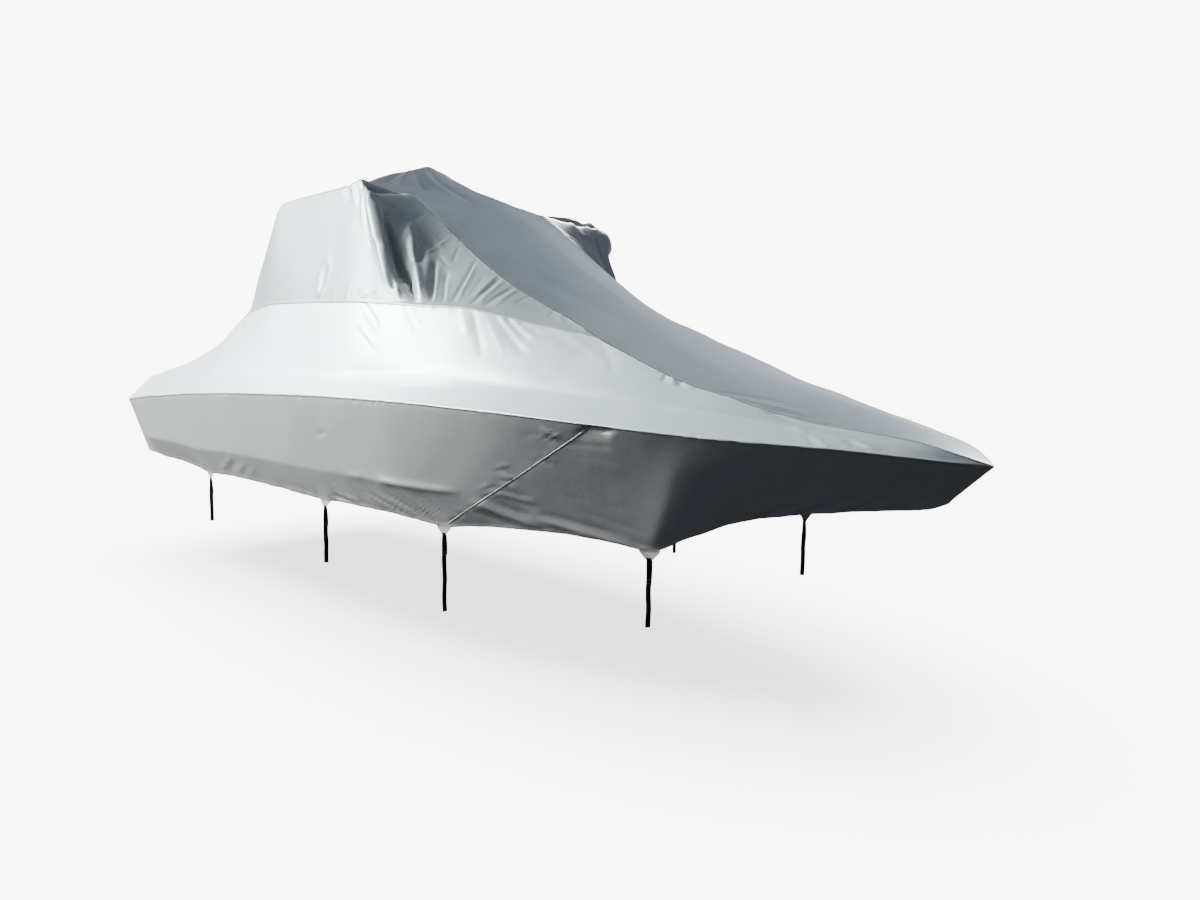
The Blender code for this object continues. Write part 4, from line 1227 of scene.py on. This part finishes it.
def build_world():
    """The dim surround: its colour by height, and its paler places."""
    world = bpy.data.worlds.new("studio")
    bpy.context.scene.world = world
    world.use_nodes = True
    tree = world.node_tree
    place = add_node(tree, "TexCoord", {}).outputs["Generated"]
    height = add_node(tree, "SeparateXYZ", {0: place}).outputs[2]
    ramp = add_node(tree, "ValToRGB", {0: maths(tree, "MULTIPLY_ADD", height, 0.5, 0.5)})
    stops = ramp.color_ramp.elements
    for stop, (position, colour) in zip(stops, (WORLD_STOPS[0], WORLD_STOPS[-1])):
        stop.position, stop.color = position, (*colour, 1.0)
    for position, colour in WORLD_STOPS[1:-1]:
        stops.new(position).color = (*colour, 1.0)
    total = ramp.outputs[0]
    for azimuth, elevation, sharpness, colour in WORLD_GLOWS:
        inputs = {0: place, 1: towards(azimuth, elevation)}
        facing = add_node(tree, "VectorMath", inputs, operation="DOT_PRODUCT").outputs["Value"]
        share = maths(tree, "POWER", maths(tree, "MAXIMUM", facing, 0.0), sharpness)
        inputs = {0: share, 1: colour, 2: total}
        total = add_node(tree, "VectorMath", inputs, operation="MULTIPLY_ADD").outputs[0]
    tree.links.new(total, tree.nodes["Background"].inputs[0])


STAGE_REACH = 120.0
FLOOR_COLOUR = (0.80, 0.80, 0.80)
BACKDROP_GLOW = 9.0
MIDDLE = (0.6, 0.0, -1.4)
KNUCKLE = (1.30, -1.15, -1.55)
SUNNY = (1.0, 0.985, 0.95)
PALE = (1.0, 1.0, 1.0)
CLEAR = (0.87, 1.0, 0.99)
COOL = (0.84, 0.92, 1.0)
BLUE = (0.66, 0.82, 1.0)
# Lamps: azimuth and height in degrees, distance, width, power, colour, aim, what they light.
LAMPS = [
    ("key", 220, 30, 14.0, 9.0, 10200.0, SUNNY, MIDDLE, ("cloth_skirt", "webbing_tab")),
    ("key_on_deck", 237, 18, 14.0, 4.0, 12000.0, CLEAR, MIDDLE, ("cloth_deck_side",)),
    ("key_on_tower", 236, 26, 14.0, 6.0, 7200.0, CLEAR, MIDDLE, ("cloth_tower_side",)),
    ("key_on_strip", 225, 24, 14.0, 2.6, 500.0, SUNNY, MIDDLE, ("cloth_centre_strip",)),
    ("over_deck", 212, 40, 14.0, 3.0, 3800.0, CLEAR, MIDDLE, ("cloth_deck_side",)),
    ("by_the_knuckle", 245, 45, 1.8, 0.8, 74.0, PALE, KNUCKLE, ("cloth_deck_side_starboard",)),
    ("tower_front", 252, 20, 14.0, 6.0, 1000.0, PALE, MIDDLE, ("cloth_tower_side",)),
    ("low_bow", 70, 24, 3.3, 1.2, 390.0, COOL, (3.9, 0.0, -1.5), ("cloth_centre_strip",)),
    ("astern", 196, 16, 14.0, 4.0, 6500.0, PALE, MIDDLE, ("cloth_centre_strip",)),
    ("sky_on_strip", 20, 60, 14.0, 6.0, 250.0, BLUE, MIDDLE, ("cloth_centre_strip",)),
    ("port", 128, 32, 14.0, 4.0, 2600.0, PALE, MIDDLE, ("_port",)),
]
# Light on the floor: power, and whether the cover shades it.
FLOOR_LAMPS = [("floor_light", 26.0, False), ("floor_shade", 7.0, True)]
FLOOR_SOFT = 70.0           # the floor light's spread in degrees
FLOOR_SOURCE = (-0.1, -0.1, 1.0)
# The surround's colour by height: 0 straight down, 0.5 the horizon, 1 straight up.
WORLD_STOPS = [
    (0.0, (0.03, 0.032, 0.038)), (0.48, (0.05, 0.054, 0.064)), (0.52, (0.11, 0.12, 0.14)),
    (0.75, (0.15, 0.17, 0.205)), (1.0, (0.18, 0.205, 0.25)),
]
# Paler places in the surround: azimuth, elevation, how narrow, colour.
WORLD_GLOWS = [
    (255.0, 20.0, 3.0, (0.16, 0.165, 0.17)),
    (112.0, 8.0, 8.0, (0.46, 0.51, 0.58)),
]
# The photograph's camera.
CAMERA = (5.430, -3.967, -1.271)
CAMERA_YAW = 42.89
CAMERA_PITCH = 6.58
CAMERA_ROLL = 0.91
LENS = 26.76
SENSOR = 36.0


def build_camera():
    """The camera at the photograph's place and angle."""
    yaw, pitch, roll = (math.radians(v) for v in (CAMERA_YAW, CAMERA_PITCH, CAMERA_ROLL))
    ahead = Vector((-math.sin(yaw) * math.cos(pitch), math.cos(yaw) * math.cos(pitch), -math.sin(pitch)))
    right = Vector((math.cos(yaw), math.sin(yaw), 0.0))
    above = right.cross(ahead)
    turned_right = right * math.cos(roll) + above * math.sin(roll)
    turned_up = above * math.cos(roll) - right * math.sin(roll)
    data = bpy.data.cameras.new("camera")
    data.sensor_fit = "HORIZONTAL"
    data.sensor_width = SENSOR
    data.lens = LENS
    data.clip_end = 2000.0
    camera = bpy.data.objects.new("camera", data)
    axes = Matrix((turned_right, turned_up, -ahead)).transposed()
    camera.matrix_world = Matrix.Translation(CAMERA) @ axes.to_4x4()
    bpy.context.scene.collection.objects.link(camera)
    bpy.context.scene.camera = camera


build_cover(cloth_material())
build_ties()
build_lights(build_stage())
build_world()
build_camera()
